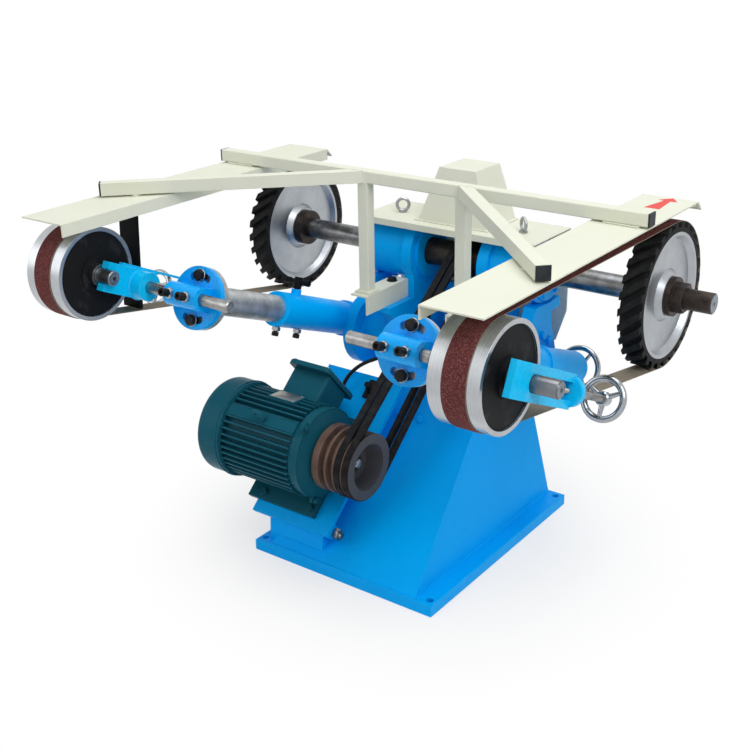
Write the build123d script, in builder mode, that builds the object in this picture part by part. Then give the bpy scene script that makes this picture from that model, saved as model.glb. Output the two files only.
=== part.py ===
from build123d import *
import os
from math import cos, radians, sin, tan

os.makedirs("parts", exist_ok=True)

# Frame: X to the right along the wheel shaft, Y to the back, Z up. The origin lies on the floor under
# the middle of the base plate. All lengths are in millimetres. Paired pieces are drawn on the right.

# Fits, as radial clearances, and gaps between faces that pass each other
RUN = 0.05
SEAT = 0.02
BOLT_PLAY = 0.1
END_PLAY = 0.5

# Broken edges, and the 12 mm screws used all over the machine
EDGE = 2
BOLT_R, BOLT_AF, BOLT_HEAD_T = 6, 19, 9

# Base plate and pedestal
BASE_W, BASE_D, BASE_T = 550, 672, 30
FLOOR_HOLE_R, FLOOR_HOLE_DX, FLOOR_HOLE_DY = 9, 516, 628
PED_BOTTOM_W, PED_BOTTOM_D = 452, 664
PED_TOP_W, PED_TOP_D, PED_TOP_Z = 266, 176, 400
PED_WALL, PED_ROOF = 8, 10
PED_TOP_Y = (PED_BOTTOM_D - PED_TOP_D) / 2

# Main shaft and contact wheels
SHAFT_Y, SHAFT_Z = 215, 705
SHAFT_R, SHAFT_END_R, SHOULDER_X, SHAFT_END_X = 27.5, 25, 505, 686
WHEEL_X, WHEEL_W, HUB_R, TYRE_R = 554, 54, 151, 175
HUB_MOUTH_R, HUB_DISH_R, HUB_DISH, HUB_BOSS_ROOT_R, HUB_BOSS_R = 143, 134, 14, 64, 52
SERRATIONS, SERRATION_W, SERRATION_DEPTH, SERRATION_SLANT = 28, 16, 14, 38
INNER_COLLAR_R, OUTER_COLLAR_R, OUTER_COLLAR_T = 48, 47, 13
NUT_AF, NUT_T = 64, 26

# Bearings, housings and saddle
HOUSING_X, HOUSING_R, BEARING_R, BEARING_W = (100, 252), 80, 50, 21
BEARING_INSET = 1
CAP_R, CAP_T, CAP_GAP = 70, 10, 1
CAP_BOLT_PCR, CAP_BOLTS, CAP_BOLT_R, CAP_BOLT_T = 60, 6, 6.5, 7
SADDLE_X, SADDLE_Y, SADDLE_T = 130, (158, 330), 20
CHEEK_X, CHEEK_R, CHEEK_FOOT_Y, CHEEK_FRONT_Z, CHEEK_KNEE = (100, 130), 88, 165, 652, (62, 552)
LEDGE_X, LEDGE_Y, LEDGE_Z = 174, 34, (577, 592)
SADDLE_WALL_Y, SADDLE_WALL_Z = (285, 300), 600
REST_Y, REST_H = (195, 235), 40

# V-belt drive
PULLEY_X, GROOVES, BELT_GROOVES, DRIVEN_X = (-62, 50), (-33, -9, 15, 39), (15, 39), (3, 51)
DRIVEN_R, MOTOR_PULLEY_R, GROOVE_DEPTH, GROOVE_TOP, GROOVE_FLOOR = 62, 84, 14, 9, 4.4
VBELT_TOP, VBELT_FLOOR, VBELT_PROUD, VBELT_DEPTH = 7.8, 4.2, 1, 10
SPACER_R = 36
PULLEY_DISH_R, PULLEY_DISH_FLARE, PULLEY_DISH_X = 50, 9, 5

# Pulley cover, hood and lifting eyes
COVER_X, COVER_Y, COVER_Z, SHEET = 262, (130, 315), 794, 3
COVER_LIP_Z, PANEL_CORNER_Z, PANEL_FOOT_X, PANEL_FOOT_Z = 780, 575, 234, 488
HOOD_FOOT_X, HOOD_FOOT_Y, HOOD_TOP_X, HOOD_TOP_Y, HOOD_TOP_Z = 104, (170, 314), 54, (193, 311), 938
HOOD_FLANGE = 8
EYE_X, EYE_SHANK, EYE_RING_R, EYE_WIRE_R = 183, 9, 16, 4.2
EYE_COLLAR_R, EYE_COLLAR_T, EYE_SINK, EYE_TURNS = 11, 5, 0.5, ((-1, 35), (1, -40))

# Belt-guard frame and guards
TUBE, BAR_Y, BAR_Z, BAR_END = 30, (-19, 11), (928, 958), 609
POST_X, POST_PAD, POST_PAD_T = (128, 158), 8, 5
FOOT_X, FOOT_Y, FOOT_Z, FOOT_WALL = (118, 168), (-41, 143), (592, 642), 4
FOOT_BOLT_Y, FOOT_BOLT_AF, FOOT_BOLT_HEAD_T, FOOT_SPACER_R = 105, 20, 10, 12
GUARD_ARM_START, GUARD_ARM_END = (143, -4), (597, -454)
CAP_PLUG = 4
GUARD_X, GUARD_Y, GUARD_TOP, GUARD_FLANGE, GUARD_LIP = (474, 609), (-681, 263), 924, 29, 30
PAD_CROSS_X, PAD_ARM, PAD_HALF = (505, 590), (540, -397), 14
SPARK_X, SPARK_FOOT, SPARK_HEAD, SPARK_T = (-584, -524), (-431, 645), (-418, 884), 8

# Arm bracket and sliding arm: t runs from the disc's middle down to the back
ARM_X, DISC_Y, DISC_Z, ARM_DIP = 298, -447, 721, 21.4
DISC_R, DISC_T, FLANGE_R, FLANGE_T = 75, 14, 74, 14
SLOT_PCR, SLOT_W, SLOT_ARC = 53, 17, 52
CLAMP_X, CLAMP_R, ROD_T, ROD_R = (254, 352), 28, -42, 14
CLAMP_SCREW_X, CLAMP_SCREW_REACH, CLAMP_SCREW_GAP = (277, 329), 30, 0.4
CLAMP_HEAD_R, CLAMP_HEAD_T, CLAMP_NUT_AF, CLAMP_NUT_T = 10, 17, 22, 10
DISC_BOLT_R, DISC_BOLT_AF, DISC_BOLT_HEAD_T, DISC_NUT_T = 8, 24, 10, 12
DISC_WASHER_R, DISC_WASHER_T = 15, 3
TUBE_R, TUBE_BORE_R, TUBE_END_T, PLUG_T, BORE_START_T = 34, 26, 640, 40, 26
SLEEVE_R, SLEEVE_T, SLEEVE_END, SLEEVE_ROUND = 45, (280, 800), 20, 10
SLEEVE_STEP_T, SLEEVE_STEP_R = (575, 591), 49
BOSS_X, BOSS_R, BOSS_Y, BOSS_Z, PIVOT_R = (228, 262), 97, 138, 480, 55
NECK_FRONT = ((255, 450), (138, 480), (125, 575), (150, 628))
NECK_BACK = ((275, 628), (275, 602), (236, 600), (232, 577), (262, 490))
NECK_BOLTS = ((186, 548), (218, 526))
ARM_SCREW_R, ARM_SCREW_T, ARM_WHEEL_T, ARM_COLLAR_R, ARM_COLLAR_T = 9, 585, 836, 18, 14
T_AT, T_SCREW_R, T_BOSS_R, T_BOSS_H = 350, 6, 13, 57
T_HUB_R, T_HUB_H, T_BAR_H, T_BAR_R, T_BAR_L, T_KNOB_R, T_KNOB_L = 11, (58, 89), 77, 6, 72, 8, 12
SLEEVE_SCREWS, SLEEVE_SCREW_REACH = (298, 385), 24
SLEEVE_SCREW_HEAD_R, SLEEVE_SCREW_HEAD_T, SLEEVE_SCREW_NUT_T = 9, 11, 10

# Yoke, axle and idler: u runs from the axle down to the back
AXLE_Y, AXLE_Z, AXLE_R, AXLE_X, YOKE_DIP = -579, 780, 17.5, (437, 709), 25
IDLER_X, IDLER_R, IDLER_FACE_R, IDLER_DISH = (497, 607), 110, 100, 4
IDLER_HUB_R, AXLE_COLLAR_R, AXLE_COLLARS = 42, 26, ((481, 496.5), (607.5, 627))
YOKE_HALF, YOKE_SLOT = 35, 17.6
INNER_PLATE_X, INNER_PLATE_U, INNER_SLOT_U = (458, 480), (-5, 150), 10
OUTER_PLATE_X, OUTER_PLATE_U, OUTER_SLOT_U = (633, 655), (-68, 172), (-19, 166)
OUTER_BEVEL, OUTER_BEVEL_T = 45, 8
BRIDGE_U, YOKE_END_R, YOKE_END_U = (130, 152), 30, (166, 190)
ROD_X, ROD_BOSS_X, ROD_BOSS_R = (166, 456), (424, 459), 34
STEADY_X, STEADY_U, STEADY_V = (463, 475), (40, 250), (35, 41)
SCREW_X, SCREW_R, SCREW_ROD_R, SCREW_U, TENSION_WHEEL_U = 644, 7, 9, (-14, 191), 353
TENSION_RIM_R, ARM_RIM_R, TENSION_SPOKE, ARM_SPOKE = 42.5, 55, 90, 60
WHEEL_RIM_WIRE, WHEEL_HUB_R, WHEEL_HUB_T, WHEEL_SPOKE_R, SPOKES = 7.5, 15, 26, 4.5, 3

# Abrasive belts
BELT_X, BELT_T, BELT_GAP = (528, 580), 1.6, 0.4

# Motor on its tilting plate: s runs up the plate from its front edge
PLATE_Y, PLATE_Z, PLATE_TILT = -325, 108, 41
PLATE_X, PLATE_LENGTH, PLATE_T = (-290, -45), 448, 12
PIN_Y, PIN_Z, PIN_R, PIN_X = -290, 100, 8, (-294, -22)
PIN_HEAD_R, PIN_HEAD_T, PIN_NUT_X, PIN_NUT_AF = 13, 6, (-44, -30), 26
BRACKET_X, BRACKET_Y, KNUCKLE_R = (-246, -71), (-310, -270), 15
LUG_X, LUG_R = ((-288, -248), (-69, -46)), 16.5
STUD_X, STUD_S, STUD_R, STUD_REACH, STUD_SLOT = -125, 408, 8, (-100, 34), (24, 44)
MOTOR_S, MOTOR_HEIGHT = 172, 112
FRAME_X, FRAME_R, FIN_ROOT_R, FIN_R, FIN_T, FINS = (-330, -92), 105, 104, 119, 4.5, 44
FIN_END_X, BAND_R, STRIP_HALF = -112, 112, 14
ROTOR_BORE_R, ROTOR_R, ROTOR_X = 66, 65, (-305, -105)
RAIL_OUT, RAIL_T, RAIL_X, RAIL_WEB = (68, 141), 14, (-315, -100), (74, 86)
RAIL_BOLT_X, RAIL_BOLT_OUT = (-271, -120), 121
SHIELD_FRONT_X, SHIELD_REAR_X = (-92, -84, -66), (-346, -330)
SHIELD_R, SHIELD_STEP, SHIELD_NOSE_R = 115.4, 4, 60
EARS, EAR_FIRST, EAR_OUT, EAR_W, EAR_BOLT_PCR, EAR_BOLT_AF, EAR_BOLT_T = 3, 85, (104, 128), 22, 120, 13, 8
COWL_X, COWL_R, COWL_WALL, COWL_ROUND, COWL_PLAY = (-409, -332), 125, 2.5, 16, 0.1
COWL_SLOTS, COWL_SLOT_L, COWL_SLOT_W, COWL_SLOT_PCR = 18, 48, 7, 68
FAN_X, FAN_R, FAN_HUB_R, FAN_BLADES, FAN_BLADE_T = (-398, -362), 104, 26, 7, 4
MOTOR_SHAFT_R, MOTOR_SHAFT_X = 14, (-402, 0)
BOX_X, BOX_OUT, BOX_HALF, BOX_WALL, BOX_ROUND = (-262, -145), (100, 180), 52, 5, 10
LID_X, LID_OUT, LID_HALF, LID_EDGE, LID_ROUND = (-268, -138), (180, 194), 76, 4, 14
MOTOR_EYE_X, MOTOR_EYE_OUT, MOTOR_EYE_SHANK, MOTOR_EYE_BOSS_R = -215, 119, 10, 18
GLAND_X, GLAND_OUT, GLAND_UP, GLAND_R = -215, 150, (-62, -52), 10
GLAND_NUT_AF, GLAND_NUT_T = 26, 5
NAMEPLATE_X, NAMEPLATE_TURN, NAMEPLATE_OUT, NAMEPLATE_HALF = (-250, -165), 45, (100, 121), 26

# Cable from the gland to the saddle floor
CABLE_R, CABLE_HOLE_R, CABLE_HOLE_X, CABLE_HOLE_Y = 5, 15, -72, 177.5
CABLE_ARC_SHARE = 0.45

ON_END = (Align.CENTER, Align.CENTER, Align.MIN)

arm_dir = (0, cos(radians(ARM_DIP)), -sin(radians(ARM_DIP)))
yoke_dir = (0, cos(radians(YOKE_DIP)), -sin(radians(YOKE_DIP)))
plate_dir = (0, cos(radians(PLATE_TILT)), sin(radians(PLATE_TILT)))
plate_up = (0, -sin(radians(PLATE_TILT)), cos(radians(PLATE_TILT)))
motor_y = PLATE_Y + MOTOR_S * plate_dir[1] + MOTOR_HEIGHT * plate_up[1]
motor_z = PLATE_Z + MOTOR_S * plate_dir[2] + MOTOR_HEIGHT * plate_up[2]
rod_y = DISC_Y + ROD_T * arm_dir[1]
rod_z = DISC_Z + ROD_T * arm_dir[2]

GROUND = Plane.XY
ACROSS = Plane.YZ
SHAFT = Plane(origin=(0, SHAFT_Y, SHAFT_Z), x_dir=(0, 1, 0), z_dir=(1, 0, 0))
ARM = Plane(origin=(ARM_X, DISC_Y, DISC_Z), x_dir=(1, 0, 0), z_dir=arm_dir)
ARM_UP = Plane(
    origin=(ARM_X, DISC_Y + T_AT * arm_dir[1], DISC_Z + T_AT * arm_dir[2]),
    x_dir=(1, 0, 0),
    z_dir=(0, -arm_dir[2], arm_dir[1]),
)
YOKE = Plane(origin=(0, AXLE_Y, AXLE_Z), x_dir=yoke_dir, z_dir=(1, 0, 0))
YOKE_TOP = Plane(origin=(0, AXLE_Y, AXLE_Z), x_dir=(1, 0, 0), z_dir=(0, -yoke_dir[2], yoke_dir[1]))
SCREW = Plane(origin=(SCREW_X, AXLE_Y, AXLE_Z), x_dir=(1, 0, 0), z_dir=yoke_dir)
PLATE = Plane(origin=(0, PLATE_Y, PLATE_Z), x_dir=plate_dir, z_dir=(1, 0, 0))
PLATE_FACE = Plane(origin=(0, PLATE_Y, PLATE_Z), x_dir=(1, 0, 0), z_dir=plate_up)
MOTOR = Plane(origin=(0, motor_y, motor_z), x_dir=plate_dir, z_dir=(1, 0, 0))
MOTOR_UP = Plane(origin=(0, motor_y, motor_z), x_dir=(1, 0, 0), z_dir=plate_up)
OUT = Axis(origin=(0, motor_y, motor_z), direction=plate_dir)


def bar(plane, start, end, radius, x=0, y=0, mode=Mode.ADD):
    """Round bar along the plane's normal from start to end, at local x, y."""
    with Locations(plane.location * Location((x, y, start))):
        Cylinder(radius, end - start, align=ON_END, mode=mode)


def block(plane, x_span, y_span, z_span, mode=Mode.ADD):
    """Box between two local limits on each of the plane's axes."""
    spans = (x_span, y_span, z_span)
    with Locations(plane.location * Location(tuple(sum(span) / 2 for span in spans))):
        Box(*(span[1] - span[0] for span in spans), mode=mode)


def hexagon(plane, start, end, across, x=0, y=0):
    """Hexagonal bar along the plane's normal from start to end, at local x, y."""
    with BuildSketch(plane.offset(start), mode=Mode.PRIVATE) as outline:
        with Locations((x, y)):
            RegularPolygon(across / 2, 6, major_radius=False)
    extrude(outline.sketch, amount=end - start)


def lifting_eye(plane, x, y, seat, shank, turn):
    """Eye turned about its shank, with a collar on the seat and the shank below it."""
    collar_top = seat + EYE_COLLAR_T
    bar(plane, seat - shank, seat, BOLT_R, x, y)
    bar(plane, seat, collar_top, EYE_COLLAR_R, x, y)
    with Locations(plane.location * Location((x, y, collar_top - EYE_SINK + EYE_RING_R), (0, 0, turn))):
        Torus(EYE_RING_R, EYE_WIRE_R, rotation=(90, 0, 0))


def hand_wheel(plane, at, rim_r, first_spoke):
    """Rim, spokes and hub of a small handwheel on the plane's normal."""
    bar(plane, at - WHEEL_HUB_T / 2, at + WHEEL_HUB_T / 2, WHEEL_HUB_R)
    with Locations(plane.location * Location((0, 0, at))):
        Torus(rim_r, WHEEL_RIM_WIRE)
        with PolarLocations((rim_r + WHEEL_HUB_R) / 2, SPOKES, start_angle=first_spoke):
            Cylinder(WHEEL_SPOKE_R, rim_r - WHEEL_HUB_R + WHEEL_RIM_WIRE, rotation=(0, 90, 0))


def groove_points(radius, grooves):
    """Corner points of the V-grooves in a pulley's rim, as (x, radius)."""
    floor = radius - GROOVE_DEPTH
    points = []
    for middle in grooves:
        points += [(middle - GROOVE_TOP, radius), (middle - GROOVE_FLOOR, floor)]
        points += [(middle + GROOVE_FLOOR, floor), (middle + GROOVE_TOP, radius)]
    return points


def save(part, name):
    """Label one sub-part and write it."""
    part.label = name
    export_step(part, f"parts/{name}.step")


def save_sides(part, name):
    """Write a right-hand sub-part and its mirror image on the left."""
    save(part, f"right_{name}")
    with BuildPart() as left:
        mirror(part, about=Plane.YZ)
    save(left.part, f"left_{name}")


# Base and pedestal

with BuildPart() as base_plate:
    block(GROUND, (-BASE_W / 2, BASE_W / 2), (-BASE_D / 2, BASE_D / 2), (0, BASE_T))
    chamfer(base_plate.edges().group_by(Axis.Z)[-1], EDGE)
    with GridLocations(FLOOR_HOLE_DX, FLOOR_HOLE_DY, 2, 2):
        Cylinder(FLOOR_HOLE_R, BASE_T, align=ON_END, mode=Mode.SUBTRACT)
save(base_plate.part, "base_plate")

with BuildPart() as pedestal_form:
    with BuildSketch(GROUND.offset(BASE_T)):
        Rectangle(PED_BOTTOM_W, PED_BOTTOM_D)
    with BuildSketch(GROUND.offset(PED_TOP_Z)):
        with Locations((0, PED_TOP_Y)):
            Rectangle(PED_TOP_W, PED_TOP_D)
    loft(ruled=True)

with BuildPart() as pedestal:
    add(pedestal_form.part)
    with BuildSketch(GROUND.offset(BASE_T)):
        Rectangle(PED_BOTTOM_W - 2 * PED_WALL, PED_BOTTOM_D - 2 * PED_WALL)
    with BuildSketch(GROUND.offset(PED_TOP_Z - PED_ROOF)):
        with Locations((0, PED_TOP_Y)):
            Rectangle(PED_TOP_W - 2 * PED_WALL, PED_TOP_D - 2 * PED_WALL)
    loft(ruled=True, mode=Mode.SUBTRACT)
    bar(GROUND, BASE_T, PED_TOP_Z, CABLE_HOLE_R, CABLE_HOLE_X, CABLE_HOLE_Y, Mode.SUBTRACT)
save(pedestal.part, "pedestal")

with BuildPart() as motor_hinge_bracket:
    bar(ACROSS, *BRACKET_X, KNUCKLE_R, PIN_Y, PIN_Z)
    with BuildSketch(ACROSS.offset(BRACKET_X[0])):
        with BuildLine():
            Polyline(
                (BRACKET_Y[0], BASE_T),
                (BRACKET_Y[1], BASE_T),
                (PIN_Y + KNUCKLE_R, PIN_Z),
                (PIN_Y - KNUCKLE_R, PIN_Z),
                close=True,
            )
        make_face()
    extrude(amount=BRACKET_X[1] - BRACKET_X[0])
    add(pedestal_form.part, mode=Mode.SUBTRACT)
    bar(ACROSS, *BRACKET_X, PIN_R + RUN, PIN_Y, PIN_Z, Mode.SUBTRACT)
save(motor_hinge_bracket.part, "motor_hinge_bracket")

with BuildPart() as motor_hinge_pin:
    bar(ACROSS, *PIN_X, PIN_R, PIN_Y, PIN_Z)
    bar(ACROSS, PIN_X[0] - PIN_HEAD_T, PIN_X[0], PIN_HEAD_R, PIN_Y, PIN_Z)
    hexagon(ACROSS, *PIN_NUT_X, PIN_NUT_AF, PIN_Y, PIN_Z)
save(motor_hinge_pin.part, "motor_hinge_pin")

# Saddle, housings and bearings

with BuildPart() as saddle:
    saddle_z = (PED_TOP_Z, PED_TOP_Z + SADDLE_T)
    block(GROUND, (0, SADDLE_X), SADDLE_Y, saddle_z)
    with BuildSketch(ACROSS.offset(CHEEK_X[0])):
        with BuildLine():
            Polyline(
                (CHEEK_FOOT_Y, saddle_z[1]),
                (SADDLE_WALL_Y[1], saddle_z[1]),
                (SHAFT_Y + CHEEK_R, SHAFT_Z),
                (SHAFT_Y - CHEEK_R, SHAFT_Z),
                (FOOT_Y[1], CHEEK_FRONT_Z),
                (FOOT_Y[1], LEDGE_Z[1]),
                (LEDGE_Y, LEDGE_Z[1]),
                (LEDGE_Y, LEDGE_Z[0]),
                CHEEK_KNEE,
                close=True,
            )
        make_face()
        with Locations((SHAFT_Y, SHAFT_Z)):
            Circle(CHEEK_R)
        with Locations((sum(REST_Y) / 2, COVER_Z - REST_H / 2)):
            Rectangle(REST_Y[1] - REST_Y[0], REST_H)
    extrude(amount=CHEEK_X[1] - CHEEK_X[0])
    block(GROUND, (CHEEK_X[0], LEDGE_X), (LEDGE_Y, FOOT_Y[1]), LEDGE_Z)
    block(GROUND, (0, CHEEK_X[0]), SADDLE_WALL_Y, (saddle_z[1], SADDLE_WALL_Z))
    bar(SHAFT, *CHEEK_X, HOUSING_R + SEAT, mode=Mode.SUBTRACT)
    foot_x = sum(FOOT_X) / 2
    bar(GROUND, *LEDGE_Z, BOLT_R + BOLT_PLAY, foot_x, FOOT_BOLT_Y, Mode.SUBTRACT)
    mirror(about=Plane.YZ)
    bar(GROUND, *saddle_z, CABLE_HOLE_R, CABLE_HOLE_X, CABLE_HOLE_Y, Mode.SUBTRACT)
save(saddle.part, "saddle")

with BuildPart() as bearing_housings:
    bar(SHAFT, *HOUSING_X, HOUSING_R)
    bar(SHAFT, *HOUSING_X, BEARING_R + RUN, mode=Mode.SUBTRACT)
    mirror(about=Plane.YZ)
save(bearing_housings.part, "bearing_housings")

with BuildPart() as bearing_caps:
    bar(SHAFT, HOUSING_X[1], HOUSING_X[1] + CAP_T, CAP_R)
    bar(SHAFT, HOUSING_X[0] - CAP_T, HOUSING_X[0], CAP_R)
    cap_face = HOUSING_X[1] + CAP_T
    with Locations(SHAFT.location * Location((0, 0, cap_face))):
        with PolarLocations(CAP_BOLT_PCR, CAP_BOLTS):
            Cylinder(CAP_BOLT_R, CAP_BOLT_T, align=ON_END)
    bar(SHAFT, HOUSING_X[1], cap_face, SHAFT_R + CAP_GAP, mode=Mode.SUBTRACT)
    bar(SHAFT, HOUSING_X[0] - CAP_T, HOUSING_X[0], SPACER_R + CAP_GAP, mode=Mode.SUBTRACT)
    mirror(about=Plane.YZ)
save(bearing_caps.part, "bearing_caps")

with BuildPart() as spindle_bearings:
    for start in (HOUSING_X[0] + BEARING_INSET, HOUSING_X[1] - BEARING_INSET - BEARING_W):
        bar(SHAFT, start, start + BEARING_W, BEARING_R)
        bar(SHAFT, start, start + BEARING_W, SHAFT_R + RUN, mode=Mode.SUBTRACT)
    mirror(about=Plane.YZ)
save(spindle_bearings.part, "spindle_bearings")

# Arm brackets

with BuildPart() as arm_brackets:
    bar(ARM, *SLEEVE_T, SLEEVE_R)
    fillet(arm_brackets.edges().filter_by(GeomType.CIRCLE).sort_by(Axis.Y)[-1], SLEEVE_ROUND)
    bar(ARM, *SLEEVE_STEP_T, SLEEVE_STEP_R)
    bar(ACROSS, *BOSS_X, BOSS_R, BOSS_Y, BOSS_Z)
    bar(ACROSS, CHEEK_X[1], BOSS_X[0], PIVOT_R, BOSS_Y, BOSS_Z)
    with BuildSketch(ACROSS.offset(BOSS_X[0])):
        with BuildLine():
            Polyline(*NECK_FRONT, *NECK_BACK, close=True)
        make_face()
    extrude(amount=BOSS_X[1] - BOSS_X[0])
    bar(ARM_UP, TUBE_R, T_BOSS_H, T_BOSS_R)
    bar(SHAFT, *BOSS_X, HOUSING_R + SEAT, mode=Mode.SUBTRACT)
    bar(ARM, SLEEVE_T[0], SLEEVE_T[1] - SLEEVE_END, TUBE_R + RUN, mode=Mode.SUBTRACT)
    bar(ARM, *SLEEVE_T, ARM_SCREW_R + RUN, mode=Mode.SUBTRACT)
    bar(ARM_UP, 0, T_BOSS_H, T_SCREW_R + RUN, mode=Mode.SUBTRACT)
    for at in SLEEVE_SCREWS:
        bar(ARM_UP, -SLEEVE_R, 0, BOLT_R + SEAT, 0, at - T_AT, Mode.SUBTRACT)
    mirror(about=Plane.YZ)
save(arm_brackets.part, "arm_brackets")

# Pulley cover, hood and lifting eyes

with BuildPart() as pulley_cover:
    cover_top = COVER_Z + SHEET
    block(GROUND, (-COVER_X, COVER_X), COVER_Y, (COVER_Z, cover_top))
    block(GROUND, (-COVER_X, COVER_X), (COVER_Y[0], COVER_Y[0] + SHEET), (COVER_LIP_Z, cover_top))
    with BuildSketch(Plane.XZ.offset(-COVER_Y[1] - SHEET)):
        with BuildLine():
            Polyline(
                (-COVER_X, cover_top),
                (COVER_X, cover_top),
                (COVER_X, PANEL_CORNER_Z),
                (PANEL_FOOT_X, PANEL_FOOT_Z),
                (-PANEL_FOOT_X, PANEL_FOOT_Z),
                (-COVER_X, PANEL_CORNER_Z),
                close=True,
            )
        make_face()
    extrude(amount=SHEET)
    for side in (-1, 1):
        bar(GROUND, COVER_Z, cover_top, BOLT_R + SEAT, side * EYE_X, SHAFT_Y, Mode.SUBTRACT)
save(pulley_cover.part, "pulley_cover")

with BuildPart() as pulley_hood:
    hood_foot = (sum(HOOD_FOOT_Y) / 2, HOOD_FOOT_Y[1] - HOOD_FOOT_Y[0])
    hood_top = (sum(HOOD_TOP_Y) / 2, HOOD_TOP_Y[1] - HOOD_TOP_Y[0])
    flange_edge = HOOD_FOOT_X + HOOD_FLANGE
    flange_y = (HOOD_FOOT_Y[0] - HOOD_FLANGE, HOOD_FOOT_Y[1])
    block(GROUND, (-flange_edge, flange_edge), flange_y, (cover_top, cover_top + SHEET))
    for inset, mode in ((0, Mode.ADD), (SHEET, Mode.SUBTRACT)):
        with BuildSketch(GROUND.offset(cover_top)):
            with Locations((0, hood_foot[0])):
                Rectangle(2 * (HOOD_FOOT_X - inset), hood_foot[1] - 2 * inset)
        with BuildSketch(GROUND.offset(HOOD_TOP_Z - inset)):
            with Locations((0, hood_top[0])):
                Rectangle(2 * (HOOD_TOP_X - inset), hood_top[1] - 2 * inset)
        loft(ruled=True, mode=mode)
save(pulley_hood.part, "pulley_hood")

with BuildPart() as eye_bolts:
    for side, turn in EYE_TURNS:
        lifting_eye(GROUND, side * EYE_X, SHAFT_Y, COVER_Z + SHEET, EYE_SHANK, turn)
save(eye_bolts.part, "eye_bolts")

# Belt-guard frame and guards

with BuildPart() as guard_crossbar:
    block(GROUND, (-BAR_END, BAR_END), BAR_Y, BAR_Z)
    chamfer(guard_crossbar.edges().filter_by(Axis.X), EDGE)
save(guard_crossbar.part, "guard_crossbar")

with BuildPart() as guard_posts:
    block(GROUND, POST_X, BAR_Y, (FOOT_Z[1], BAR_Z[0]))
    chamfer(guard_posts.edges().filter_by(Axis.Z), EDGE)
    block(GROUND, FOOT_X, FOOT_Y, FOOT_Z)
    block(
        GROUND,
        (POST_X[0] - POST_PAD, POST_X[1] + POST_PAD),
        (BAR_Y[0] - POST_PAD, BAR_Y[1] + POST_PAD),
        (FOOT_Z[1], FOOT_Z[1] + POST_PAD_T),
    )
    foot_under = (FOOT_Z[0], FOOT_Z[1] - FOOT_WALL)
    block(GROUND, (FOOT_X[0] + FOOT_WALL, FOOT_X[1]), FOOT_Y, foot_under, Mode.SUBTRACT)
    bar(GROUND, *FOOT_Z, BOLT_R + BOLT_PLAY, foot_x, FOOT_BOLT_Y, Mode.SUBTRACT)
    mirror(about=Plane.YZ)
save(guard_posts.part, "guard_posts")

run_x = GUARD_ARM_END[0] - GUARD_ARM_START[0]
run_y = GUARD_ARM_END[1] - GUARD_ARM_START[1]
GUARD_ARM = Plane(
    origin=(GUARD_ARM_START[0], GUARD_ARM_START[1], sum(BAR_Z) / 2),
    x_dir=(-run_y, run_x, 0),
    z_dir=(run_x, run_y, 0),
)
guard_arm_length = (run_x**2 + run_y**2) ** 0.5

with BuildPart() as guard_arms:
    block(GUARD_ARM, (-TUBE / 2, TUBE / 2), (-TUBE / 2, TUBE / 2), (0, guard_arm_length))
    block(GROUND, (0, BAR_END), (BAR_Y[0], BAR_Y[1] + TUBE), BAR_Z, Mode.SUBTRACT)
    mirror(about=Plane.YZ)
save(guard_arms.part, "guard_arms")

with BuildPart() as tube_end_caps:
    block(GROUND, (BAR_END, BAR_END + CAP_PLUG), BAR_Y, BAR_Z)
    plug = (guard_arm_length, guard_arm_length + CAP_PLUG)
    block(GUARD_ARM, (-TUBE / 2, TUBE / 2), (-TUBE / 2, TUBE / 2), plug)
    mirror(about=Plane.YZ)
save(tube_end_caps.part, "tube_end_caps")

with BuildPart() as frame_bolts:
    bar(GROUND, LEDGE_Z[0], FOOT_Z[1], BOLT_R, foot_x, FOOT_BOLT_Y)
    bar(GROUND, *foot_under, FOOT_SPACER_R, foot_x, FOOT_BOLT_Y)
    hexagon(GROUND, FOOT_Z[1], FOOT_Z[1] + FOOT_BOLT_HEAD_T, FOOT_BOLT_AF, foot_x, FOOT_BOLT_Y)
    screw_end = -SLEEVE_R - SLEEVE_SCREW_REACH
    nut_face = -SLEEVE_R - END_PLAY
    for at in SLEEVE_SCREWS:
        bar(ARM_UP, screw_end, -TUBE_R - END_PLAY, BOLT_R, 0, at - T_AT)
        bar(ARM_UP, screw_end, screw_end + SLEEVE_SCREW_HEAD_T, SLEEVE_SCREW_HEAD_R, 0, at - T_AT)
        hexagon(ARM_UP, nut_face - SLEEVE_SCREW_NUT_T, nut_face, BOLT_AF, 0, at - T_AT)
    for bolt_y, bolt_z in NECK_BOLTS:
        hexagon(ACROSS, BOSS_X[1], BOSS_X[1] + BOLT_HEAD_T, BOLT_AF, bolt_y, bolt_z)
    mirror(about=Plane.YZ)
    bar(PLATE_FACE, *STUD_REACH, STUD_R, STUD_X, STUD_S)
    add(pedestal_form.part, mode=Mode.SUBTRACT)
save(frame_bolts.part, "frame_bolts")

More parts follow.
